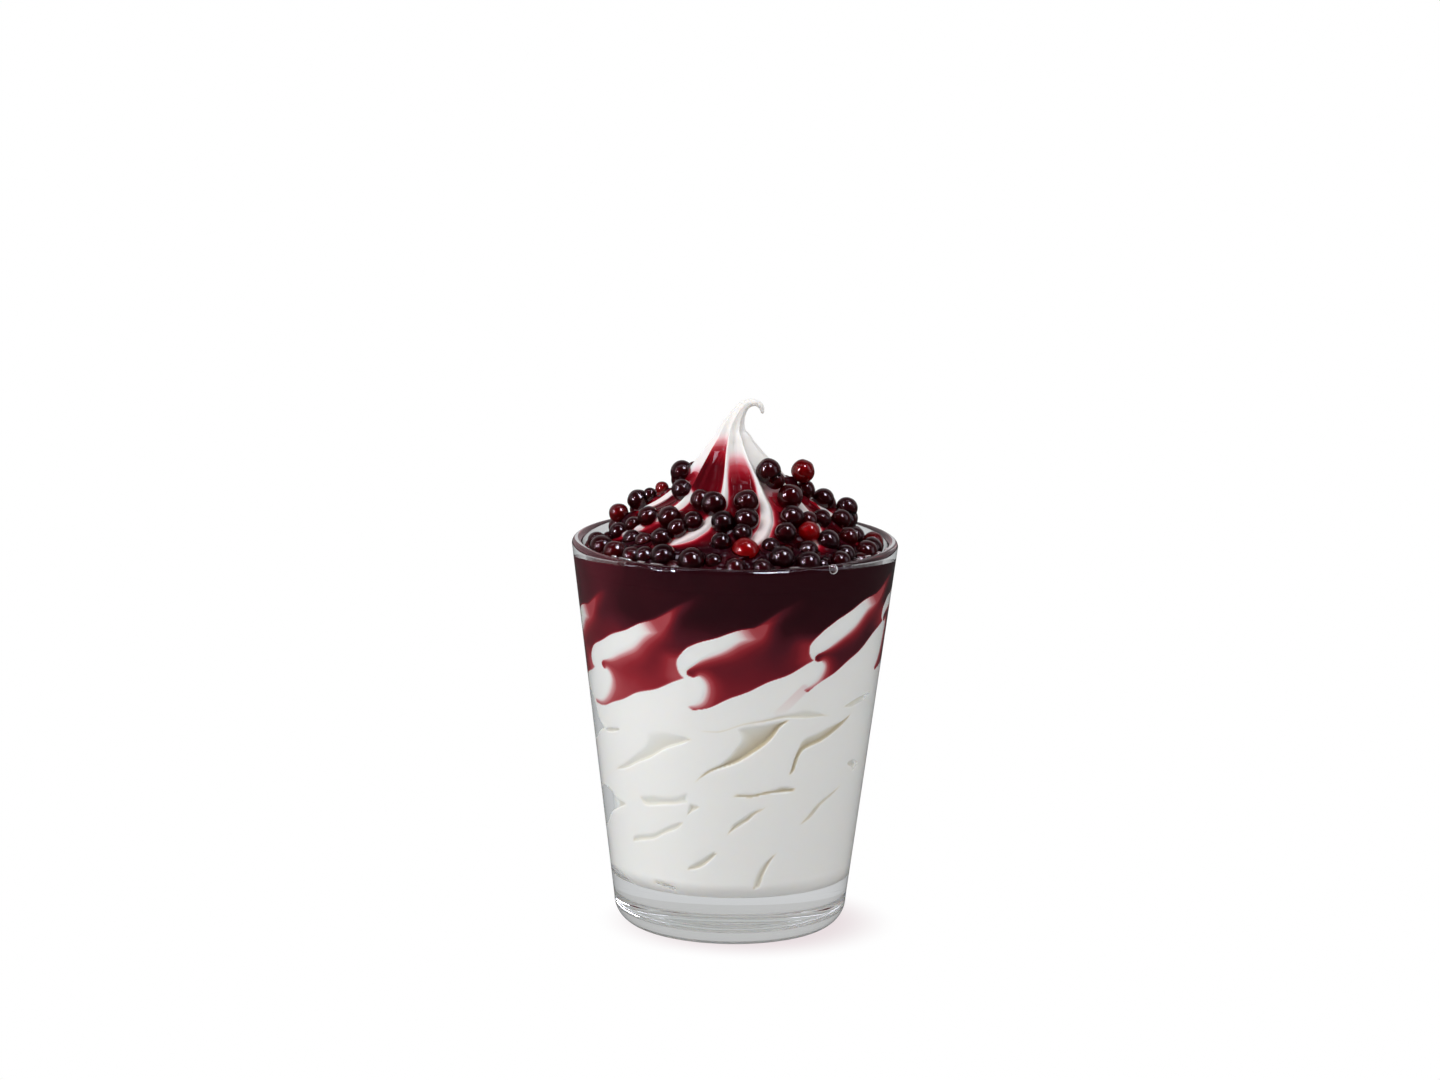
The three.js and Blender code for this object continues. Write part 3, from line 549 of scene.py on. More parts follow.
def sauce_pocket(azimuth, z):
    """How thick the sauce lies between the ice cream and the glass"""
    full = lerp(SAUCE_THIN, SAUCE_THICK, smoothstep(z, THIN_HEIGHT, THICK_HEIGHT))
    azimuth, z = waved(azimuth, z)
    turned = turned_from(azimuth)
    in_sauce, share = sauce_share(np.radians(turned) * FOLD_RADIUS, z)
    starts = np.array([fold[0] for fold in FOLDS])
    depths = np.tile([fold[11] for fold in FOLDS], 3)
    depth = np.interp(turned, np.concatenate([starts - 360, starts, starts + 360]) + TONGUE_AFTER, depths)
    thinned = np.ones(z.shape)
    stain = np.zeros(z.shape)
    for start, height, length, climb, hump, *_ in FOLDS:
        x = np.radians(turned_from(turned, start)) * FOLD_RADIUS
        level = z - height
        # The sauce is thin left of the nose
        left = x + NOSE_WIDTH
        glow = NOSE_THINNED * np.exp(-((np.minimum(left, 0) / NOSE_GLOW) ** 2)) * (left < 2)
        glow = glow * smoothstep(level, -5, 0.5) * smoothstep(level, hump + 2, hump - 3)
        thinned = np.minimum(thinned, 1 - glow)
        # It is thin in a streak past the lens's tip
        under = climb * x - level
        width = np.where(under > 0, STREAK_SOFT, STREAK_CRISP)
        streak = STREAK_THINNED * np.exp(-((under / width) ** 2))
        along = smoothstep(x, length - 6, length - 1) * smoothstep(x, length + STREAK_LENGTH, length)
        thinned = np.minimum(thinned, 1 - streak * along)
        # A stain lies on the lens towards its tip
        on_lens = (level > climb * x - 6) & (level < climb * x + hump) & (x < length + 6)
        to_tip = (x + climb * level) / (1 + climb**2) - length
        stain = np.maximum(stain, TIP_STAIN * on_lens * smoothstep(to_tip, -TIP_STAINED, 0) ** 4)
    depth = lerp(depth, band_share(azimuth), smoothstep(z, *BAND_HEIGHTS))
    return np.where(in_sauce, np.maximum(full * depth * share * thinned, stain), stain)


def segment_distance(x, y, a, b):
    dx, dy = b[0] - a[0], b[1] - a[1]
    t = np.clip(((x - a[0]) * dx + (y - a[1]) * dy) / (dx * dx + dy * dy + EVEN), 0, 1)
    return np.hypot(x - a[0] - t * dx, y - a[1] - t * dy)


def back_creases():
    """Creases on the side away from the camera, of the same kinds as in front"""
    draw = draws(CREASE_SEED)
    made = []
    for i in range(BACK_CREASES):
        share = (i + 0.5) / BACK_CREASES
        azimuth = lerp(FIRST_BACK_AZIMUTH, LAST_BACK_AZIMUTH, share)
        height = lerp(LOWEST_CREASE, HIGHEST_CREASE, (i * 0.38 + 0.2 * next(draw)) % 1)
        half = 7 + 7 * next(draw)
        climb = math.radians(22 + 14 * next(draw))
        width = 1.4 + 3.6 * next(draw) ** 2
        lower, upper = [], []
        for k in range(BACK_CREASE_PLACES):
            share = k / (BACK_CREASE_PLACES - 1)
            along = half * (2 * share - 1)
            wave = 0.8 * math.sin(3 * k + 9 * next(draw))
            middle = math.sin(math.pi * share)
            turn = azimuth + math.degrees(along * math.cos(climb) / FOLD_RADIUS)
            z = height + along * math.sin(climb) + wave * middle
            lower.append((turn, z))
            if 0 < share < 1:
                upper.insert(0, (turn - 1.5, z + width * middle**0.7))
        # the last number is how strong the crease's painted shade is
        made.append((lower, upper, 0.8 + 0.35 * width, 0.8, 0.4 + 0.5 * next(draw)))
    return made


def creases(azimuth, z):
    """How deep the creases are, and how dark their painted shade is"""
    deepest = np.zeros_like(z)
    painted_shade = np.zeros_like(z)
    azimuth, z = waved(azimuth, z)
    for lower, upper, depth, power, dark in CREASES + back_creases():
        middle = lower[len(lower) // 2][0]
        x = np.radians(turned_from(azimuth, middle)) * FOLD_RADIUS
        low, high = (
            [(math.radians(turn - middle) * FOLD_RADIUS, level) for turn, level in edge]
            for edge in (lower, upper)
        )
        low = smooth_line(low, LINE_STEPS)
        high = smooth_line([tuple(low[-1])] + high + [tuple(low[0])], LINE_STEPS)
        corners = np.concatenate([low, high[1:-1]])
        near = (np.abs(x) < CREASE_REACH) & (z > corners[:, 1].min() - 1) & (z < corners[:, 1].max() + 1)
        if not near.any():
            continue
        px, pz = x[near], z[near]
        to_low, to_high = (
            np.min([segment_distance(px, pz, a, b) for a, b in zip(edge, edge[1:])], axis=0)
            for edge in (low, high)
        )
        inside = np.zeros(px.shape, bool)
        for a, b in zip(corners, np.roll(corners, -1, axis=0)):
            if a[1] != b[1]:
                crosses = (a[1] > pz) != (b[1] > pz)
                inside ^= crosses & (px < (b[0] - a[0]) * (pz - a[1]) / (b[1] - a[1]) + a[0])
        across = to_low / (to_low + to_high + EVEN)
        down = (1 - across) ** power * smoothstep(to_low, 0, CREASE_EDGE)
        down = down * smoothstep(to_high, 0, 2 * CREASE_EDGE)
        line = np.exp(-(((to_low - LINE_WIDTH) / LINE_WIDTH) ** 2)) * smoothstep(to_high, 0, CREASE_EDGE)
        deepest[near] = np.maximum(deepest[near], np.where(inside, CREASE_DEPTH * depth * down, 0))
        # painted shade, strongest along the line by the crisp edge
        shade = np.minimum(1, CREASE_SHADE * dark * np.maximum(0.8 * down, line))
        painted_shade[near] = np.maximum(painted_shade[near], np.where(inside, shade, 0))
    return deepest, painted_shade


def twist(z):
    below = np.maximum(0, TWIST_TOP - np.maximum(z, TWIST_BOTTOM)) / TWIST_HEIGHT
    return -TWIST * below**1.5


def ridge_phase(azimuth, z):
    """Counts the peak's ridges round it: a whole number on each crest"""
    return (azimuth - twist(z) - FIRST_RIDGE) * RIDGES / 360


def valley_shape(azimuth, z):
    """0 on a ridge's crest and 1 along a valley's middle"""
    phase = ridge_phase(azimuth, z)
    sharp = np.sin(np.pi * np.abs(phase - np.round(phase)))
    rounding = lerp(ROPE_ROUNDING, CREST_ROUNDING, smoothstep(z, ROPE_BOTTOM, ROPE_TOP))
    rounded = np.sqrt(sharp**2 + rounding**2) - rounding
    return (rounded / (np.sqrt(1 + rounding**2) - rounding)) ** 0.85


def valley_depth(z, crest):
    grown = smoothstep(z, RIDGE_FROM_HEIGHT, RIDGE_FULL_HEIGHT)
    return grown * np.minimum(VALLEY_DEEPEST, VALLEY_SHARE * crest)


def peak_radius(azimuth, z):
    crest = follow(CREST_OUTLINE, z)
    return crest - valley_depth(z, crest) * valley_shape(azimuth, z)


def ice_radius(azimuth, z):
    peak = peak_radius(azimuth, z)
    filling = cavity_radius(z) + REACH - sauce_pocket(azimuth, z) - creases(azimuth, z)[0]
    low = lerp(filling, np.minimum(peak, filling), smoothstep(z, THICK_HEIGHT, SAUCE_LEVEL))
    return np.where(z >= SAUCE_LEVEL, peak, low)


def lean_at(z):
    return LEAN * smoothstep(z, LEAN_FROM_HEIGHT, TIP[0][1])


# --- meshes

def add_piece(name, points, faces, replaced, material, attributes=None, second=None, use_second=None):
    mesh = bpy.data.meshes.new(name)
    mesh.from_pydata((np.asarray(points) * MM).tolist(), [], [list(map(int, face)) for face in faces])
    mesh.validate()
    for key, values in (attributes or {}).items():
        layer = mesh.attributes.new(key, "FLOAT", "POINT")
        layer.data.foreach_set("value", np.asarray(values, np.float32))
    mesh.shade_smooth()
    mesh.materials.append(material)
    if second:
        mesh.materials.append(second)
        mesh.polygons.foreach_set("material_index", np.asarray(use_second, np.int32))
    piece = bpy.data.objects.new(name, mesh)
    bpy.context.scene.collection.objects.link(piece)
    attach(piece, "root")
    if replaced:
        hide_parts(replaced)
    return piece


def grid_faces(rows, sides):
    row, side = np.meshgrid(np.arange(rows - 1) * sides, np.arange(sides), indexing="ij")
    after = (side + 1) % sides
    return np.stack([row + side, row + after, row + sides + after, row + sides + side], -1).reshape(-1, 4)


def capped_faces(rows, sides):
    """Faces of a closed form: rings of places, and after them the middles of its bottom and its top"""
    faces = grid_faces(rows, sides).tolist()
    bottom, top, last = rows * sides, rows * sides + 1, (rows - 1) * sides
    for side in range(sides):
        after = (side + 1) % sides
        faces += [[bottom, after, side], [top, last + side, last + after]]
    return faces


def polar(azimuth, radius, z, middle=0.0):
    turned = np.radians(azimuth)
    return np.stack([middle + radius * np.sin(turned), -radius * np.cos(turned), z + 0 * turned], -1)


# --- materials

def new_material(name):
    material = bpy.data.materials.new(name)
    material.use_nodes = True
    material.node_tree.nodes.clear()
    return material, material.node_tree


def node(tree, kind, inputs=None, output=0, **values):
    """Adds a node and gives back one of its outputs. Each input is a value or another node's output."""
    made = tree.nodes.new("ShaderNode" + kind)
    for key, value in values.items():
        setattr(made, key, value)
    for key, value in (inputs or {}).items():
        if isinstance(value, bpy.types.NodeSocket):
            tree.links.new(value, made.inputs[key])
        else:
            made.inputs[key].default_value = value
    return made.outputs[output] if made.outputs else None


def maths(tree, operation, *inputs):
    return node(tree, "Math", dict(enumerate(inputs)), operation=operation)


def largest(tree, first, *others):
    for other in others:
        first = maths(tree, "MAXIMUM", first, other)
    return first


def ray(tree, name):
    return node(tree, "LightPath", output=name)


def attribute(tree, name):
    return node(tree, "Attribute", output="Fac", attribute_name=name)


def mixed(tree, share, first, second):
    return node(tree, "MixShader", {"Fac": share, 1: first, 2: second})


def noise(tree, scale, detail):
    place = node(tree, "TexCoord", output="Object")
    return node(tree, "TexNoise", {"Vector": place, "Scale": scale, "Detail": detail})


def bump(tree, height, strength, distance):
    return node(tree, "Bump", {"Height": height, "Strength": strength, "Distance": distance})


def multiplied(tree, share, first, second):
    colours = {"Factor": share, "A": first, "B": second}
    return node(tree, "Mix", colours, "Result", data_type="RGBA", blend_type="MULTIPLY")


def ramp(tree, value, stops):
    """The colour between stops of (place, colour) at a value"""
    made = tree.nodes.new("ShaderNodeValToRGB")
    elements = made.color_ramp.elements
    while len(elements) > 1:
        elements.remove(elements[-1])
    elements[0].position, elements[0].color = stops[0][0], (*stops[0][1], 1)
    for place, colour in stops[1:]:
        elements.new(place).color = (*colour, 1)
    tree.links.new(value, made.inputs["Fac"])
    return made.outputs["Color"]


def srgb(red, green, blue):
    values = [value / 255 for value in (red, green, blue)]
    return tuple(((v + 0.055) / 1.055) ** 2.4 if v > 0.04 else v / 12.92 for v in values)


def outside_reflection(tree):
    """1 for what surfaces mirror on their outside, 0 for what shows through glass or within it"""
    within = maths(tree, "MODULO", ray(tree, "Transmission Depth"), 2.0)
    outside = maths(tree, "LESS_THAN", within, 0.5)
    glossy = maths(tree, "MULTIPLY", outside, ray(tree, "Is Glossy Ray"))
    return maths(tree, "MULTIPLY", glossy, ray(tree, "Is Reflection Ray"))


def glass_material():
    material, tree = new_material("clear_glass")
    tint = ramp(tree, noise(tree, 28.0, 2.0), GLASS_TINTS)
    glass = node(tree, "BsdfGlass", {"Color": tint, "Roughness": 0.0, "IOR": GLASS_IOR})
    clear = node(tree, "BsdfTransparent", {"Color": CLEAR_TINT})
    # Light that goes round and round in the base leaves it, and mirrored light passes straight through
    caught = maths(tree, "GREATER_THAN", ray(tree, "Glossy Depth"), CAUGHT_DEPTH)
    lighting = [ray(tree, "Is Shadow Ray"), ray(tree, "Is Diffuse Ray")]
    straight = largest(tree, *lighting, caught, outside_reflection(tree))
    node(tree, "OutputMaterial", {"Surface": mixed(tree, straight, glass, clear)})
    return material


# Colour of sauce over white ice cream by its thickness in millimetres, behind glass
SAUCE_COLOURS = [
    (0.0, srgb(236, 235, 233)), (0.06, srgb(226, 205, 205)), (0.14, srgb(206, 150, 153)),
    (0.35, srgb(170, 74, 80)), (0.8, srgb(141, 38, 47)), (1.4, srgb(106, 26, 36)),
    (2.2, srgb(76, 23, 33)), (3.2, srgb(50, 12, 20)), (4.2, srgb(38, 8, 15)),
]

# The same where nothing but air lies over it. Its first stop, bare ice cream, is painted greyer than behind
# the glass, as painted shade on the peak
SYRUP_COLOURS = [
    (0.0, srgb(226, 224, 222)), (0.05, srgb(228, 204, 207)), (0.14, srgb(220, 158, 164)),
    (0.4, srgb(180, 64, 76)), (0.8, srgb(142, 20, 34)), (1.4, srgb(110, 8, 20)),
    (2.2, srgb(76, 6, 15)), (3.2, srgb(50, 6, 13)), (4.2, srgb(36, 6, 13)),
]

# Colour of a pearl's skin, of its core and of a drop by how red it is
SKIN_COLOURS = [(0, srgb(136, 30, 52)), (0.4, srgb(172, 30, 48)), (1, srgb(224, 44, 58))]
CORE_COLOURS = [(0, srgb(50, 12, 24)), (0.4, srgb(92, 14, 28)), (1, srgb(176, 26, 38))]
DROP_COLOURS = [(0, srgb(240, 228, 230)), (0.5, srgb(226, 150, 158)), (1, srgb(190, 60, 74))]

# Painted shade in the creases: what a crease's darkness multiplies the ice cream's colour by
CREASE_SHADE_RAMP = [
    (0, (1, 1, 1)), (0.25, (0.97, 0.945, 0.89)), (0.55, (0.86, 0.8, 0.7)), (1, (0.66, 0.55, 0.38)),
]

FILM_UNEVEN = 0.35  # the film's thickness varies by this share
FILM_NOISE = (60.0, 3.0)


def sauce_colour(tree, film, stops):
    """The colour of a film of sauce, whose thickness a noise makes uneven"""
    thickest = stops[-1][0]
    spread = {"Value": noise(tree, *FILM_NOISE), "To Min": 1 - FILM_UNEVEN, "To Max": 1 + FILM_UNEVEN}
    thickness = maths(tree, "MULTIPLY", node(tree, "MapRange", spread), film)
    share = maths(tree, "DIVIDE", thickness, thickest)
    return ramp(tree, share, [(place / thickest, colour) for place, colour in stops])


def principled(material, inputs):
    tree = material.node_tree
    node(tree, "OutputMaterial", {"Surface": node(tree, "BsdfPrincipled", inputs)})
    return material


def ice_material(name, roughness, specular, stops):
    """Soft serve: white, a little see-through, with thin sauce on it and a painted warm shade in its creases
    """
    material, tree = new_material(name)
    film = attribute(tree, "film")
    # the creases' painted shade darkens the colour
    shade = ramp(tree, attribute(tree, "painted_crease_shade"), CREASE_SHADE_RAMP)
    heights = maths(tree, "MULTIPLY_ADD", noise(tree, 45.0, 2.0), 3.0, noise(tree, 420.0, 3.0))
    wet = {"Value": film, "From Max": 0.6, "To Min": roughness, "To Max": 0.1}
    return principled(material, {
        "Base Color": multiplied(tree, 1.0, sauce_colour(tree, film, stops), shade),
        "Normal": bump(tree, heights, 0.12, 0.0004),
        "Roughness": node(tree, "MapRange", wet),
        "Subsurface Weight": 0.35,
        "Subsurface Radius": (1.0, 0.8, 0.6),
        "Subsurface Scale": 0.0035,
        "IOR": 1.4,
        "Specular IOR Level": specular,
    })


def sauce_material(name, roughness, specular, scatter, stops):
    material, tree = new_material(name)
    return principled(material, {
        "Base Color": sauce_colour(tree, attribute(tree, "film"), stops),
        "Normal": bump(tree, noise(tree, 260.0, 2.0), 0.05, 0.0003),
        "Roughness": roughness,
        "Subsurface Weight": scatter,
        "Subsurface Radius": (1.0, 0.15, 0.2),
        "Subsurface Scale": 0.001,
        "IOR": 1.4,
        "Specular IOR Level": specular,
    })


def clear_material(name, stops):
    """A clear skin or drop, tinted by how red it is: lamps shine through it"""
    material, tree = new_material(name)
    tint = ramp(tree, attribute(tree, "red"), stops)
    rough = bump(tree, noise(tree, 240.0, 1.0), 0.06, 0.0004)
    look = {"Base Color": tint, "Normal": rough, "Roughness": 0.0, "IOR": 1.5, "Transmission Weight": 1.0}
    skin = node(tree, "BsdfPrincipled", look)
    clear = node(tree, "BsdfTransparent", {"Color": tint})
    straight = largest(tree, ray(tree, "Is Shadow Ray"), ray(tree, "Is Diffuse Ray"))
    node(tree, "OutputMaterial", {"Surface": mixed(tree, straight, skin, clear)})
    return material


def core_material():
    material, tree = new_material("pearl_core")
    tint = ramp(tree, attribute(tree, "red"), CORE_COLOURS)
    return principled(material, {
        "Base Color": multiplied(tree, 0.6, tint, noise(tree, 500.0, 3.0)),
        "Roughness": 0.35,
        "Subsurface Weight": 0.4,
        "Subsurface Radius": (1.0, 0.1, 0.2),
        "Subsurface Scale": 0.002,
    })


# --- tumbler

def arc(r, z, size, start, end, steps):
    """Places of a profile round a corner"""
    angles = [math.radians(lerp(start, end, i / steps)) for i in range(steps + 1)]
    return [(r + size * math.cos(angle), z + size * math.sin(angle)) for angle in angles]


def glass_piece():
    corner_top = FLOOR_HEIGHT + FLOOR_CORNER
    lip = GLASS_HEIGHT - LIP_ROUNDING
    foot_radius = HEEL_TOP_RADIUS - HEEL_ROUNDING
    floor_radius = float(cavity_radius(corner_top)) - FLOOR_CORNER
    profile = [(foot_radius * i / FLAT_STEPS, 0.0) for i in range(1, FLAT_STEPS)]
    profile += arc(foot_radius, HEEL_ROUNDING, HEEL_ROUNDING, -90, 0, HEEL_STEPS)
    outside = [lerp(HEEL_ROUNDING, lip, i / WALL_STEPS) for i in range(1, WALL_STEPS)]
    profile += [(float(outer_radius(z)), z) for z in outside]
    profile += arc(RIM_RADIUS - LIP_ROUNDING, lip, LIP_ROUNDING, 0, 180, LIP_STEPS)
    inside = [lerp(lip, corner_top, i / WALL_STEPS) for i in range(1, WALL_STEPS)]
    profile += [(float(outer_radius(z)) - WALL, z) for z in inside]
    profile += arc(floor_radius, corner_top, FLOOR_CORNER, 0, -90, CORNER_STEPS)
    profile += [(floor_radius * i / FLAT_STEPS, FLOOR_HEIGHT) for i in range(FLAT_STEPS - 1, 0, -1)]
    azimuth = 360 * np.arange(GLASS_SIDES) / GLASS_SIDES
    points = np.concatenate([polar(azimuth, np.full(GLASS_SIDES, r), z) for r, z in profile])
    points = np.concatenate([points, [[0, 0, 0], [0, 0, FLOOR_HEIGHT]]])
    faces = capped_faces(len(profile), GLASS_SIDES)
    return add_piece("tumbler", points, faces, "glass", glass_material())


# --- ice cream

def film_on_ice(azimuth, z):
    """How thick the sauce lies on the peak: thick low in the valleys, thin and ending higher up"""
    phase = ridge_phase(azimuth, z) % RIDGES
    over = smoothstep(phase, *OVER_FROM) * smoothstep(phase, *OVER_TO) * smoothstep(z, *OVER_HEIGHTS)
    azimuth = azimuth + OVER_LEFT_RIDGE * over
    valley = valley_shape(azimuth, z)
    number = np.floor(ridge_phase(azimuth, z)) % RIDGES
    low = np.maximum(0, np.array(FILM_TOPS)[number.astype(int)] - z)
    film = np.minimum(FILM_THICKEST, FILM_GROWTH * low**FILM_POWER)
    bare = lerp(BARE_BELOW, BARE_ABOVE, smoothstep(z, *BARE_HEIGHTS))
    on_rope = ROPE_FILM * smoothstep(z, *ROPE_FILM_HEIGHTS)
    return np.maximum(on_rope, film * smoothstep(valley, bare, bare + FILM_EDGE))


def tail_stain(azimuth, z):
    """A thin stain from the tail of the tongue at the right down to the crease below it"""
    fold = FOLDS[TAIL_FOLD]
    top = fold[1] + fold[9]
    start = (math.radians(fold[0]) * FOLD_RADIUS + fold[8], top)
    end = (math.radians(TAIL_AZIMUTH) * FOLD_RADIUS, TAIL_HEIGHT)
    away = segment_distance(np.radians(turned_from(azimuth)) * FOLD_RADIUS, z, start, end)
    film = TAIL_FILM * smoothstep(away, TAIL_WIDTH, 0.6 * TAIL_WIDTH)
    return film * smoothstep(z, TAIL_HEIGHT - 3, top + 2)


def ice_grid(z):
    """Azimuths and heights of rings of places, whose columns follow the ridges"""
    z = z[:, None] * np.ones((1, ICE_SIDES))
    return 360 * np.arange(ICE_SIDES)[None, :] / ICE_SIDES + FIRST_RIDGE + twist(z), z


def tip_rings():
    """Rings of places round the tip's middle line, its end, and each ring's height"""
    places = np.array(TIP, float)
    last = len(places) - 1
    shares = np.arange(1, TIP_RINGS + 1) / TIP_RINGS

    def line(at):
        return np.array([follow(list(zip(range(len(places)), column)), at) for column in places.T])

    middle = line(shares * last)
    ahead = line(np.minimum(shares * last + 0.01, last)) - line(shares * last - 0.01)
    side_azimuth = 360 * np.arange(ICE_SIDES) / ICE_SIDES + FIRST_RIDGE
    ridged = valley_shape(side_azimuth, TWIST_TOP + 20)
    rings = []
    for share, (x, z, radius), (dx, dz, _) in zip(shares, middle.T, ahead.T):
        length = math.hypot(dx, dz)
        dx, dz = dx / length, dz / length
        r = radius * (1 - VALLEY_SHARE * (1 - share) ** 3 * ridged)
        across = r * np.sin(np.radians(side_azimuth))
        rings.append(np.stack([x + dz * across, -r * np.cos(np.radians(side_azimuth)), z - dx * across], -1))
    end = [x + dx * radius, 0, z + dz * radius]
    film = film_on_ice(side_azimuth[None, :], middle[1][:, None] + 0 * side_azimuth[None, :])
    return np.concatenate(rings), end, film.ravel()


def ice_piece():
    corner_top = FLOOR_HEIGHT + FLOOR_CORNER
    turn = np.radians(np.linspace(0, 90, CORNER_ROWS, endpoint=False))
    rings_z = np.concatenate([
        FLOOR_HEIGHT + FLOOR_CORNER * (1 - np.cos(turn)),
        np.linspace(corner_top, SAUCE_BOTTOM, FILLING_ROWS, endpoint=False),
        np.linspace(SAUCE_BOTTOM, SAUCE_LEVEL, SAUCE_ROWS),
        lerp(SAUCE_LEVEL, TIP[0][1], np.arange(1, PEAK_ROWS + 1) / PEAK_ROWS),
    ])
    azimuth, z = ice_grid(rings_z)
    surface, bare = syrup_surface(azimuth, np.maximum(z, SYRUP_FOOT))
    on_peak = np.maximum(film_on_ice(azimuth, z), SYRUP_SEEN * (surface - bare))
    film = np.where(z > SAUCE_LEVEL, on_peak, sauce_pocket(azimuth, z) + tail_stain(azimuth, z)).ravel()
    # painted shade in the creases, carried to the material as an attribute
    painted_crease_shade = creases(azimuth, z)[1].ravel()
    sunk = REACH * (1 - smoothstep(z, FLOOR_HEIGHT, corner_top))
    points = polar(azimuth, ice_radius(azimuth, z), z - sunk, lean_at(z)).reshape(-1, 3)
    tip, tip_end, tip_film = tip_rings()
    points = np.concatenate([points, tip, [[0, 0, FLOOR_HEIGHT - REACH], tip_end]])
    film = np.concatenate([film, tip_film, [0, 0]])
    painted_crease_shade = np.concatenate([painted_crease_shade, 0 * tip_film, [0, 0]])
    faces = capped_faces(len(rings_z) + TIP_RINGS, ICE_SIDES)
    return add_piece(
        "ice_cream",
        points,
        faces,
        "soft_serve",
        ice_material("soft_serve", 0.4, 0.3, SYRUP_COLOURS),
        {"film": film, "painted_crease_shade": painted_crease_shade},
        ice_material("pressed_soft_serve", 0.6, 0.0, SAUCE_COLOURS),
        [points[face[0]][2] < SAUCE_LEVEL for face in faces],
    )


# --- sauce against the glass

def sauce_piece():
    azimuth, z = ice_grid(np.linspace(SAUCE_BOTTOM, SAUCE_LEVEL, SAUCE_ROWS))
    film = sauce_pocket(azimuth, z)
    # At the sides and the back the sauce stands lower
    lower = (SAUCE_LEVEL - SIDE_LEVEL + FRONT_HIGHER) * (1 - in_front(azimuth))
    z = z - lower * smoothstep(z, THICK_HEIGHT, SAUCE_LEVEL)
    wall = cavity_radius(z) + REACH
    outer = polar(azimuth, wall - SAUCE_SUNK, z).reshape(-1, 3)
    inner = polar(azimuth, wall - film - 0.1, z).reshape(-1, 3)
    thick = film > SAUCE_LEAST
    after = np.roll(thick, -1, axis=1)
    kept = thick[:-1] | thick[1:] | after[:-1] | after[1:]
    for _ in range(SAUCE_MARGIN):
        wider = kept | np.roll(kept, 1, axis=1) | np.roll(kept, -1, axis=1)
        wider[1:] |= kept[:-1]
        wider[:-1] |= kept[1:]
        kept = wider
    count = SAUCE_ROWS * ICE_SIDES
    quads = grid_faces(SAUCE_ROWS, ICE_SIDES).reshape(SAUCE_ROWS - 1, ICE_SIDES, 4)
    faces = quads[kept].tolist() + (quads[kept][:, ::-1] + count).tolist()
    # Its edge is closed wherever the cell beside a kept one isn't kept
    rows, sides = kept.shape
    for row, side in zip(*np.nonzero(kept)):
        a, b, c, d = quads[row, side].tolist()
        for p, q, next_row, next_side in (
            (a, b, row - 1, side),
            (c, d, row + 1, side),
            (d, a, row, side - 1),
            (b, c, row, (side + 1) % sides),
        ):
            if not 0 <= next_row < rows or not kept[next_row, next_side]:
                faces.append([q, p, p + count, q + count])
    points = np.concatenate([outer, inner])
    used = np.unique(faces)
    new = np.full(len(points), -1)
    new[used] = np.arange(len(used))
    values = np.concatenate([film.ravel(), film.ravel()])[used]
    return add_piece(
        "sauce_on_glass", points[used], new[np.array(faces)], "berry_sauce",
        sauce_material("berry_sauce", 0.5, 0.0, 0.0, SAUCE_COLOURS), {"film": values},
    )


# --- pearls and syrup

def in_front(azimuth):
    """1 in the middle of the front, falling to 0 at the sides"""
    return np.maximum(0, np.cos(np.radians(azimuth))) ** 0.7


def syrup_level(azimuth):
    """How high the syrup stands against the glass: higher in front"""
    return SIDE_LEVEL + (SAUCE_LEVEL + FRONT_HIGHER + FRONT_RISE - SIDE_LEVEL) * in_front(azimuth)


def syrup_radius(z, level=SAUCE_LEVEL):
    crest = follow(CREST_OUTLINE, z)
    to_glass = 1 - smoothstep(z, level, level + SYRUP_SLOPE)
    free = cavity_radius(z) - crest
    return crest - SYRUP_SHARE * valley_depth(z, crest) + to_glass * free * 0.9


def syrup_surface(azimuth, z):
    """Radius of the syrup's face before it climbs at the pearls, and of the ice cream beneath it"""
    ice = peak_radius(azimuth, z)
    film = film_on_ice(azimuth, z)
    filled = SYRUP_FILLS * (1 - smoothstep(z, *SYRUP_FILLS_HEIGHTS))
    sunk = SYRUP_SUNK * (1 - smoothstep(film + filled, SYRUP_SUNK, 1.6))
    return np.minimum(syrup_radius(z, syrup_level(azimuth)), ice + film + filled - sunk), ice


def in_ice(points):
    x = points[:, 0] - lean_at(points[:, 2])
    azimuth = np.degrees(np.arctan2(x, -points[:, 1]))
    return np.hypot(x, points[:, 1]) < peak_radius(azimuth, points[:, 2])


def unit_ball(level):
    ball = bmesh.new()
    bmesh.ops.create_icosphere(ball, subdivisions=level, radius=1)
    points = np.array([vertex.co[:] for vertex in ball.verts])
    faces = np.array([[vertex.index for vertex in face.verts] for face in ball.faces])
    ball.free()
    return points, faces


PROBE = unit_ball(1)[0]


def outwards(turn, tilt):
    """A direction away from the axis and up"""
    return np.array([math.sin(turn) * math.cos(tilt), -math.cos(turn) * math.cos(tilt), math.sin(tilt)])


def pearl_place(azimuth, z, radius, out):
    """Where a pearl rests on the syrup's slope, clear of the ice cream"""
    slope = (syrup_radius(z + SLOPE_STEP) - syrup_radius(z - SLOPE_STEP)) / (2 * SLOPE_STEP)
    turn = math.radians(azimuth)
    square = outwards(turn, math.atan(-slope))
    surface = float(syrup_radius(z))
    place = np.array([surface * math.sin(turn), -surface * math.cos(turn), z])
    place = place + square * (PEARL_SUNK * radius + out)
    for _ in range(PEARL_STEPS):
        if not in_ice(PROBE * radius * 0.9 + place).any():
            break
        place = place + square * PEARL_STEP
    return place


def heap_top(azimuth):
    turn = math.radians(azimuth)
    return HEAP_HEIGHT - HEAP_LOWER * math.cos(turn) + HEAP_WAVE * math.sin(math.radians(3 * azimuth))


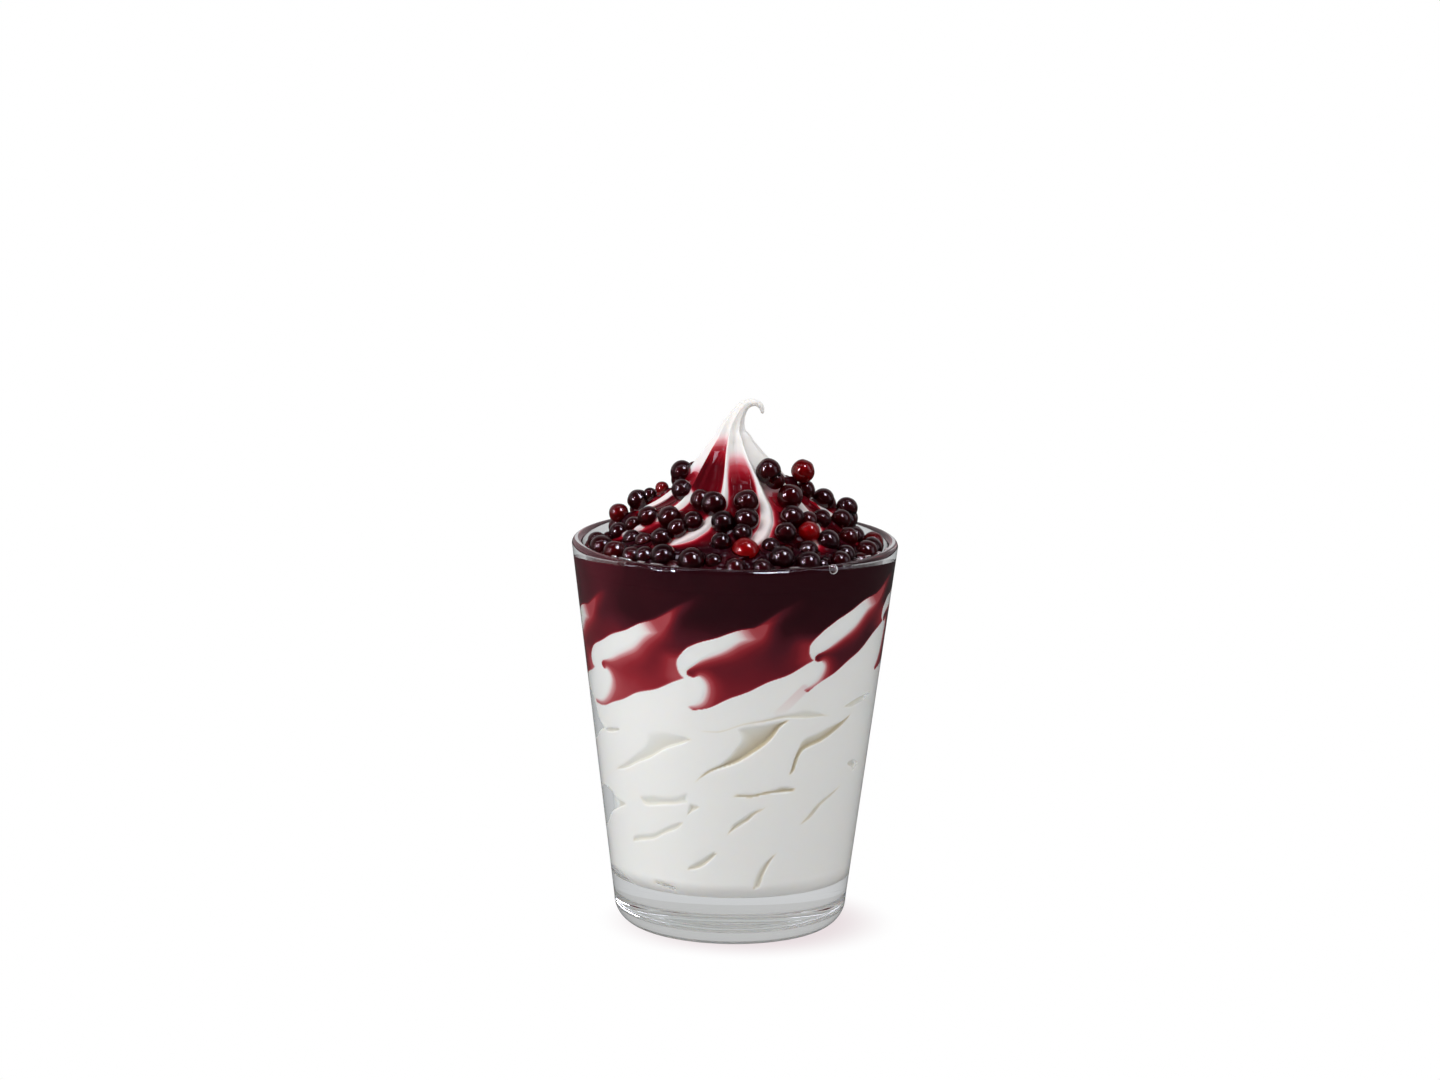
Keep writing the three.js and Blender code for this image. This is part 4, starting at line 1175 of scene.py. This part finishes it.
def height_seen(place):
    """How high a place shows in the camera's view"""
    tilt = math.radians(CAMERA_ELEVATION)
    return place[2] * math.cos(tilt) + place[1] * math.sin(tilt)


def hides_rope(place, radius):
    """Whether a pearl hides one of the ropes that show"""
    near = min(float(segment_distance(place[0], height_seen(place), a, b)) for a, b in ROPES_SEEN)
    return place[1] < HIDING_BEFORE and near < radius + ROPE_WIDTH


def hides_wall(place, radius):
    """Whether a pearl hides the glass's far wall beside the heap"""
    top = height_seen(place) + radius
    return abs(place[0]) > WALL_SEEN_FROM and place[1] > 0 and top > WALL_SEEN_ABOVE


def add_random(placed, draw, rounds, dark, tries, sizes, foot, below_top, out, nearness):
    """Adds pearls, each where it has the least room that is enough among the places tried"""
    for _ in range(rounds):
        radius = lerp(*sizes, next(draw))
        best = None
        for _ in range(tries):
            azimuth = 360 * next(draw)
            z = lerp(foot, heap_top(azimuth) - below_top, next(draw) ** 1.5)
            if float(valley_shape(azimuth, z)) < BARE_CREST_SHAPE and z > BARE_CREST_HEIGHT:
                continue
            place = pearl_place(azimuth, z, radius, out * radius)
            if math.hypot(place[0], place[1]) + radius >= float(cavity_radius(place[2])) - WALL_CLEARANCE:
                continue
            if hides_rope(place, radius):
                continue
            room = min(
                np.linalg.norm(place - other) - nearness * (radius + size) for other, size, *_ in placed
            )
            if room >= 0 and (best is None or room < best[0]):
                best = (room, place)
        if best:
            red = next(draw)
            placed.append((best[1], radius, RED_PEARL if red > dark else DARK_PEARL * red, 0))


def pearls():
    """Every pearl as its place, its radius, how red it is and how far it stands out"""
    draw = draws(PEARL_SEED)
    placed = []
    for azimuth, off, z, size, out, red in MARKED_PEARLS:
        if z < LIP_PEARL_HEIGHT and abs(azimuth) < LIP_PEARL_AZIMUTH:
            # Those at the lip lean on the glass
            size *= LIP_PEARL_LARGER
            z -= LIP_PEARL_LOWER
            off = min(off + 1, float(cavity_radius(z)) - size - 0.05)
        placed.append((polar(azimuth, off, z), size, red, out))
    add_random(placed, draw, *ON_SYRUP)
    placed += [(polar(azimuth, off, z), size, red, out) for azimuth, off, z, size, out, red in ADDED_PEARLS]
    add_random(placed, draw, *IN_SYRUP)
    marked = len(MARKED_PEARLS)
    return placed[:marked] + [pearl for pearl in placed[marked:] if not hides_wall(*pearl[:2])]


def add_balls(name, balls, faces, replaced, material):
    """One piece from many balls, each with how red it is"""
    size = len(balls[0][0])
    points = np.concatenate([ball for ball, _ in balls])
    joined = np.concatenate([faces + size * i for i in range(len(balls))])
    red = np.concatenate([np.full(size, tone) for _, tone in balls])
    return add_piece(name, points, joined, replaced, material, {"red": red})


def pearl_pieces(placed):
    draw = draws(DENT_SEED)
    shape, triangles = unit_ball(4)
    core_shape, core_triangles = unit_ball(3)
    skins, cores = [], []
    for place, radius, red, _ in placed:
        squash = [1 + PEARL_SQUASH * (next(draw) - 0.5) for _ in range(3)]
        dent = np.array([next(draw) - 0.5 for _ in range(3)])
        bumpy = 1 + PEARL_DENT * np.sin(3 * shape @ dent * 4 + 5 * next(draw))
        skins.append((shape * bumpy[:, None] * squash * radius + place, red))
        cores.append((core_shape * squash * radius * CORE_SIZE + place, red))
    skin = clear_material("pearl_skin", SKIN_COLOURS)
    add_balls("pearl_skins", skins, triangles, "pearl_heap", skin)
    add_balls("pearl_cores", cores, core_triangles, None, core_material())


def syrup_piece(placed):
    share = np.linspace(0, 1, SYRUP_ROWS)
    z = lerp(SYRUP_FOOT, SYRUP_TOP, share**1.25)[:, None] * np.ones((1, SYRUP_SIDES))
    azimuth = 360 * np.arange(SYRUP_SIDES)[None, :] / SYRUP_SIDES + 0 * z
    radius, ice = syrup_surface(azimuth, z)
    wall = cavity_radius(z) + REACH
    radius = np.where(z < syrup_level(azimuth), wall, np.minimum(radius, wall))
    surface = polar(azimuth, radius, z, lean_at(z))
    turn = np.radians(azimuth)
    outward = np.stack([np.sin(turn) * 0.8, -np.cos(turn) * 0.8, 0.6 + 0 * turn], -1)
    rise = np.zeros_like(z)
    for place, size, _, out in placed:
        off = surface - place
        up = (off * outward).sum(-1)
        across = np.sqrt(np.maximum((off**2).sum(-1) - up**2, 0))
        near = np.exp(-np.maximum(across - size, 0) / MENISCUS_WIDTH) * MENISCUS_RISE
        heaped = min(out, HEAPED_MOST) * np.exp(-((across / (1.1 * size)) ** 2))
        rise = np.maximum(rise, (near + heaped) * (np.abs(up) < size * 1.3 + out))
    rise = rise * smoothstep(radius - ice, -0.3, 0.1) * smoothstep(wall - radius, 0, 1.5)
    points = (surface + outward * rise[..., None]).reshape(-1, 3)
    on_glass = radius > wall - 0.3
    thickness = np.maximum(np.maximum(radius - ice, 0) * SYRUP_SEEN, film_on_ice(azimuth, z)) + rise * 1.1
    thickness = np.where(on_glass, SAUCE_THICK * band_share(azimuth), thickness)
    faces = capped_faces(SYRUP_ROWS, SYRUP_SIDES)
    points = np.concatenate([points, [[0, 0, SYRUP_FOOT], [LEAN, 0, SYRUP_TOP]]])
    pressed = np.concatenate([on_glass.ravel(), [True, False]])
    return add_piece(
        "syrup",
        points,
        faces,
        None,
        sauce_material("wet_syrup", 0.08, 0.15, 0.1, SYRUP_COLOURS),
        {"film": np.concatenate([thickness.ravel(), [0, 0]])},
        sauce_material("syrup_on_glass", 0.5, 0.0, 0.0, SAUCE_COLOURS),
        [pressed[face].all() for face in faces],
    )


def drops_piece():
    """Drops and smears of syrup on the lip, as flattened balls along it"""
    shape, triangles = unit_ball(3)
    drops = []
    for azimuth, radius, z, along, across, up, red in DROPS:
        turn = math.radians(azimuth)
        sideways = np.array([math.cos(turn), math.sin(turn), 0])
        outward = outwards(turn, 0)
        spread = np.outer(shape[:, 0] * along, sideways) + np.outer(shape[:, 1] * across, outward)
        spread[:, 2] += shape[:, 2] * up
        place = outward * radius + np.array([0, 0, z])
        drops.append((spread + place, red))
    thin = clear_material("thin_syrup", DROP_COLOURS)
    return add_balls("lip_drops", drops, triangles, None, thin)


glass_piece()
ice_piece()
sauce_piece()
PEARLS = pearls()
pearl_pieces(PEARLS)
syrup_piece(PEARLS)
drops_piece()


# --- floor, light and camera

def floor():
    """Pale floor, which the camera sees as white but for a faint painted shadow beside the foot"""
    mesh = bpy.data.meshes.new("floor")
    corners = [(-1, -1), (1, -1), (1, 1), (-1, 1)]
    mesh.from_pydata([(x * FLOOR_HALF, y * FLOOR_HALF, FLOOR_LEVEL) for x, y in corners], [], [(0, 1, 2, 3)])
    plane = bpy.data.objects.new("floor", mesh)
    bpy.context.scene.collection.objects.link(plane)
    material, tree = new_material("pale_floor")
    # The painted shadow is moved to the side away from the lamps
    moved = {0: node(tree, "TexCoord", output="Object"), 1: (-PAINTED_SHADOW_MOVED * MM, 0, 0)}
    place = node(tree, "VectorMath", moved, operation="ADD")
    away = node(tree, "VectorMath", {0: place}, "Value", operation="LENGTH")
    edges = {"Value": away, "From Min": PAINTED_SHADOW_FROM * MM, "From Max": PAINTED_SHADOW_TO * MM}
    painted_shadow_fade = node(tree, "MapRange", edges, interpolation_type="SMOOTHSTEP")
    seen = ramp(tree, painted_shadow_fade, [(0, PAINTED_SHADOW_COLOUR), (1, (1, 1, 1))])
    lighting = node(tree, "BsdfDiffuse", {"Color": FLOOR_COLOUR})
    through = node(tree, "Emission", {"Color": FLOOR_COLOUR_THROUGH, "Strength": FLOOR_THROUGH_GLASS})
    mirrored = node(tree, "BsdfDiffuse", {"Color": (FLOOR_REFLECTED, FLOOR_REFLECTED, FLOOR_REFLECTED, 1)})
    look = mixed(tree, ray(tree, "Is Diffuse Ray"), through, lighting)
    look = mixed(tree, outside_reflection(tree), look, mirrored)
    shown = node(tree, "Emission", {"Color": seen, "Strength": 1.0})
    look = mixed(tree, ray(tree, "Is Camera Ray"), look, shown)
    node(tree, "OutputMaterial", {"Surface": look})
    mesh.materials.append(material)


def brightness_reflected(tree):
    """What surfaces mirror: a dark room, brighter towards the back, with a pale wall on the left"""
    grown = []
    for axis, start, end, low, high in REFLECTED_PARTS:
        along = node(tree, "SeparateXYZ", {0: node(tree, "TexCoord", output="Generated")}, axis)
        edges = {"Value": along, "From Min": start, "From Max": end, "To Min": low, "To Max": high}
        grown.append(node(tree, "MapRange", edges, interpolation_type="SMOOTHSTEP"))
    return maths(tree, "ADD", *grown)


def surroundings():
    """White studio, darker where surfaces reflect it or glass shows it, as a room with dark corners"""
    world = bpy.data.worlds.new("studio")
    bpy.context.scene.world = world
    world.use_nodes = True
    tree = world.node_tree
    tree.nodes.clear()
    look = node(tree, "Background", {"Strength": AROUND_THROUGH_GLASS})
    for where, colour, strength in (
        (outside_reflection(tree), REFLECTED_COLOUR, brightness_reflected(tree)),
        (ray(tree, "Is Diffuse Ray"), (1, 1, 1, 1), AROUND_SOFT),
        (ray(tree, "Is Camera Ray"), (1, 1, 1, 1), 1.0),
    ):
        look = mixed(tree, where, look, node(tree, "Background", {"Color": colour, "Strength": strength}))
    node(tree, "OutputWorld", {"Surface": look})


def softbox(name, azimuth, elevation, distance, width, height, watts):
    light = bpy.data.lights.new(name, "AREA")
    light.shape = "RECTANGLE"
    light.size, light.size_y = width, height
    light.energy = watts
    lamp = bpy.data.objects.new(name, light)
    bpy.context.scene.collection.objects.link(lamp)
    away = outwards(math.radians(azimuth), math.radians(elevation))
    lamp.location = tuple(away * distance + np.array([0, 0, LAMP_AIM_HEIGHT * MM]))
    lamp.rotation_mode = "QUATERNION"
    lamp.rotation_quaternion = Vector(tuple(-away)).to_track_quat("-Z", "Y")
    return lamp


def turned_about(axis, degrees):
    return Matrix.Rotation(math.radians(degrees), 4, axis)


def camera():
    data = bpy.data.cameras.new("camera")
    data.sensor_fit = "HORIZONTAL"
    data.sensor_width = SENSOR
    data.lens = LENS
    data.clip_start, data.clip_end = 0.05, 50
    eye = bpy.data.objects.new("camera", data)
    bpy.context.scene.collection.objects.link(eye)
    place = outwards(0, math.radians(CAMERA_ELEVATION)) * CAMERA_DISTANCE + [0, 0, CAMERA_AIM_HEIGHT]
    turned = turned_about("Z", CAMERA_PAN) @ turned_about("X", CAMERA_TILT - CAMERA_ELEVATION)
    turned = turned @ turned_about("Y", CAMERA_ROLL)
    eye.matrix_world = Matrix.Translation(tuple(place * MM)) @ turned @ turned_about("X", 90)
    bpy.context.scene.camera = eye


floor()
surroundings()
for name, *values in SOFT_LAMPS:
    lamp = softbox(name, *values)
    lamp.visible_glossy = False
    lamp.visible_transmission = False
for name, *values in GLINT_LAMPS:
    lamp = softbox(name, *values)
    lamp.visible_diffuse = False
    lamp.visible_transmission = "side" in name or "right" in name
    lamp.data.color = GLINT_COLOUR
camera()
bpy.context.scene.view_settings.view_transform = "Standard"
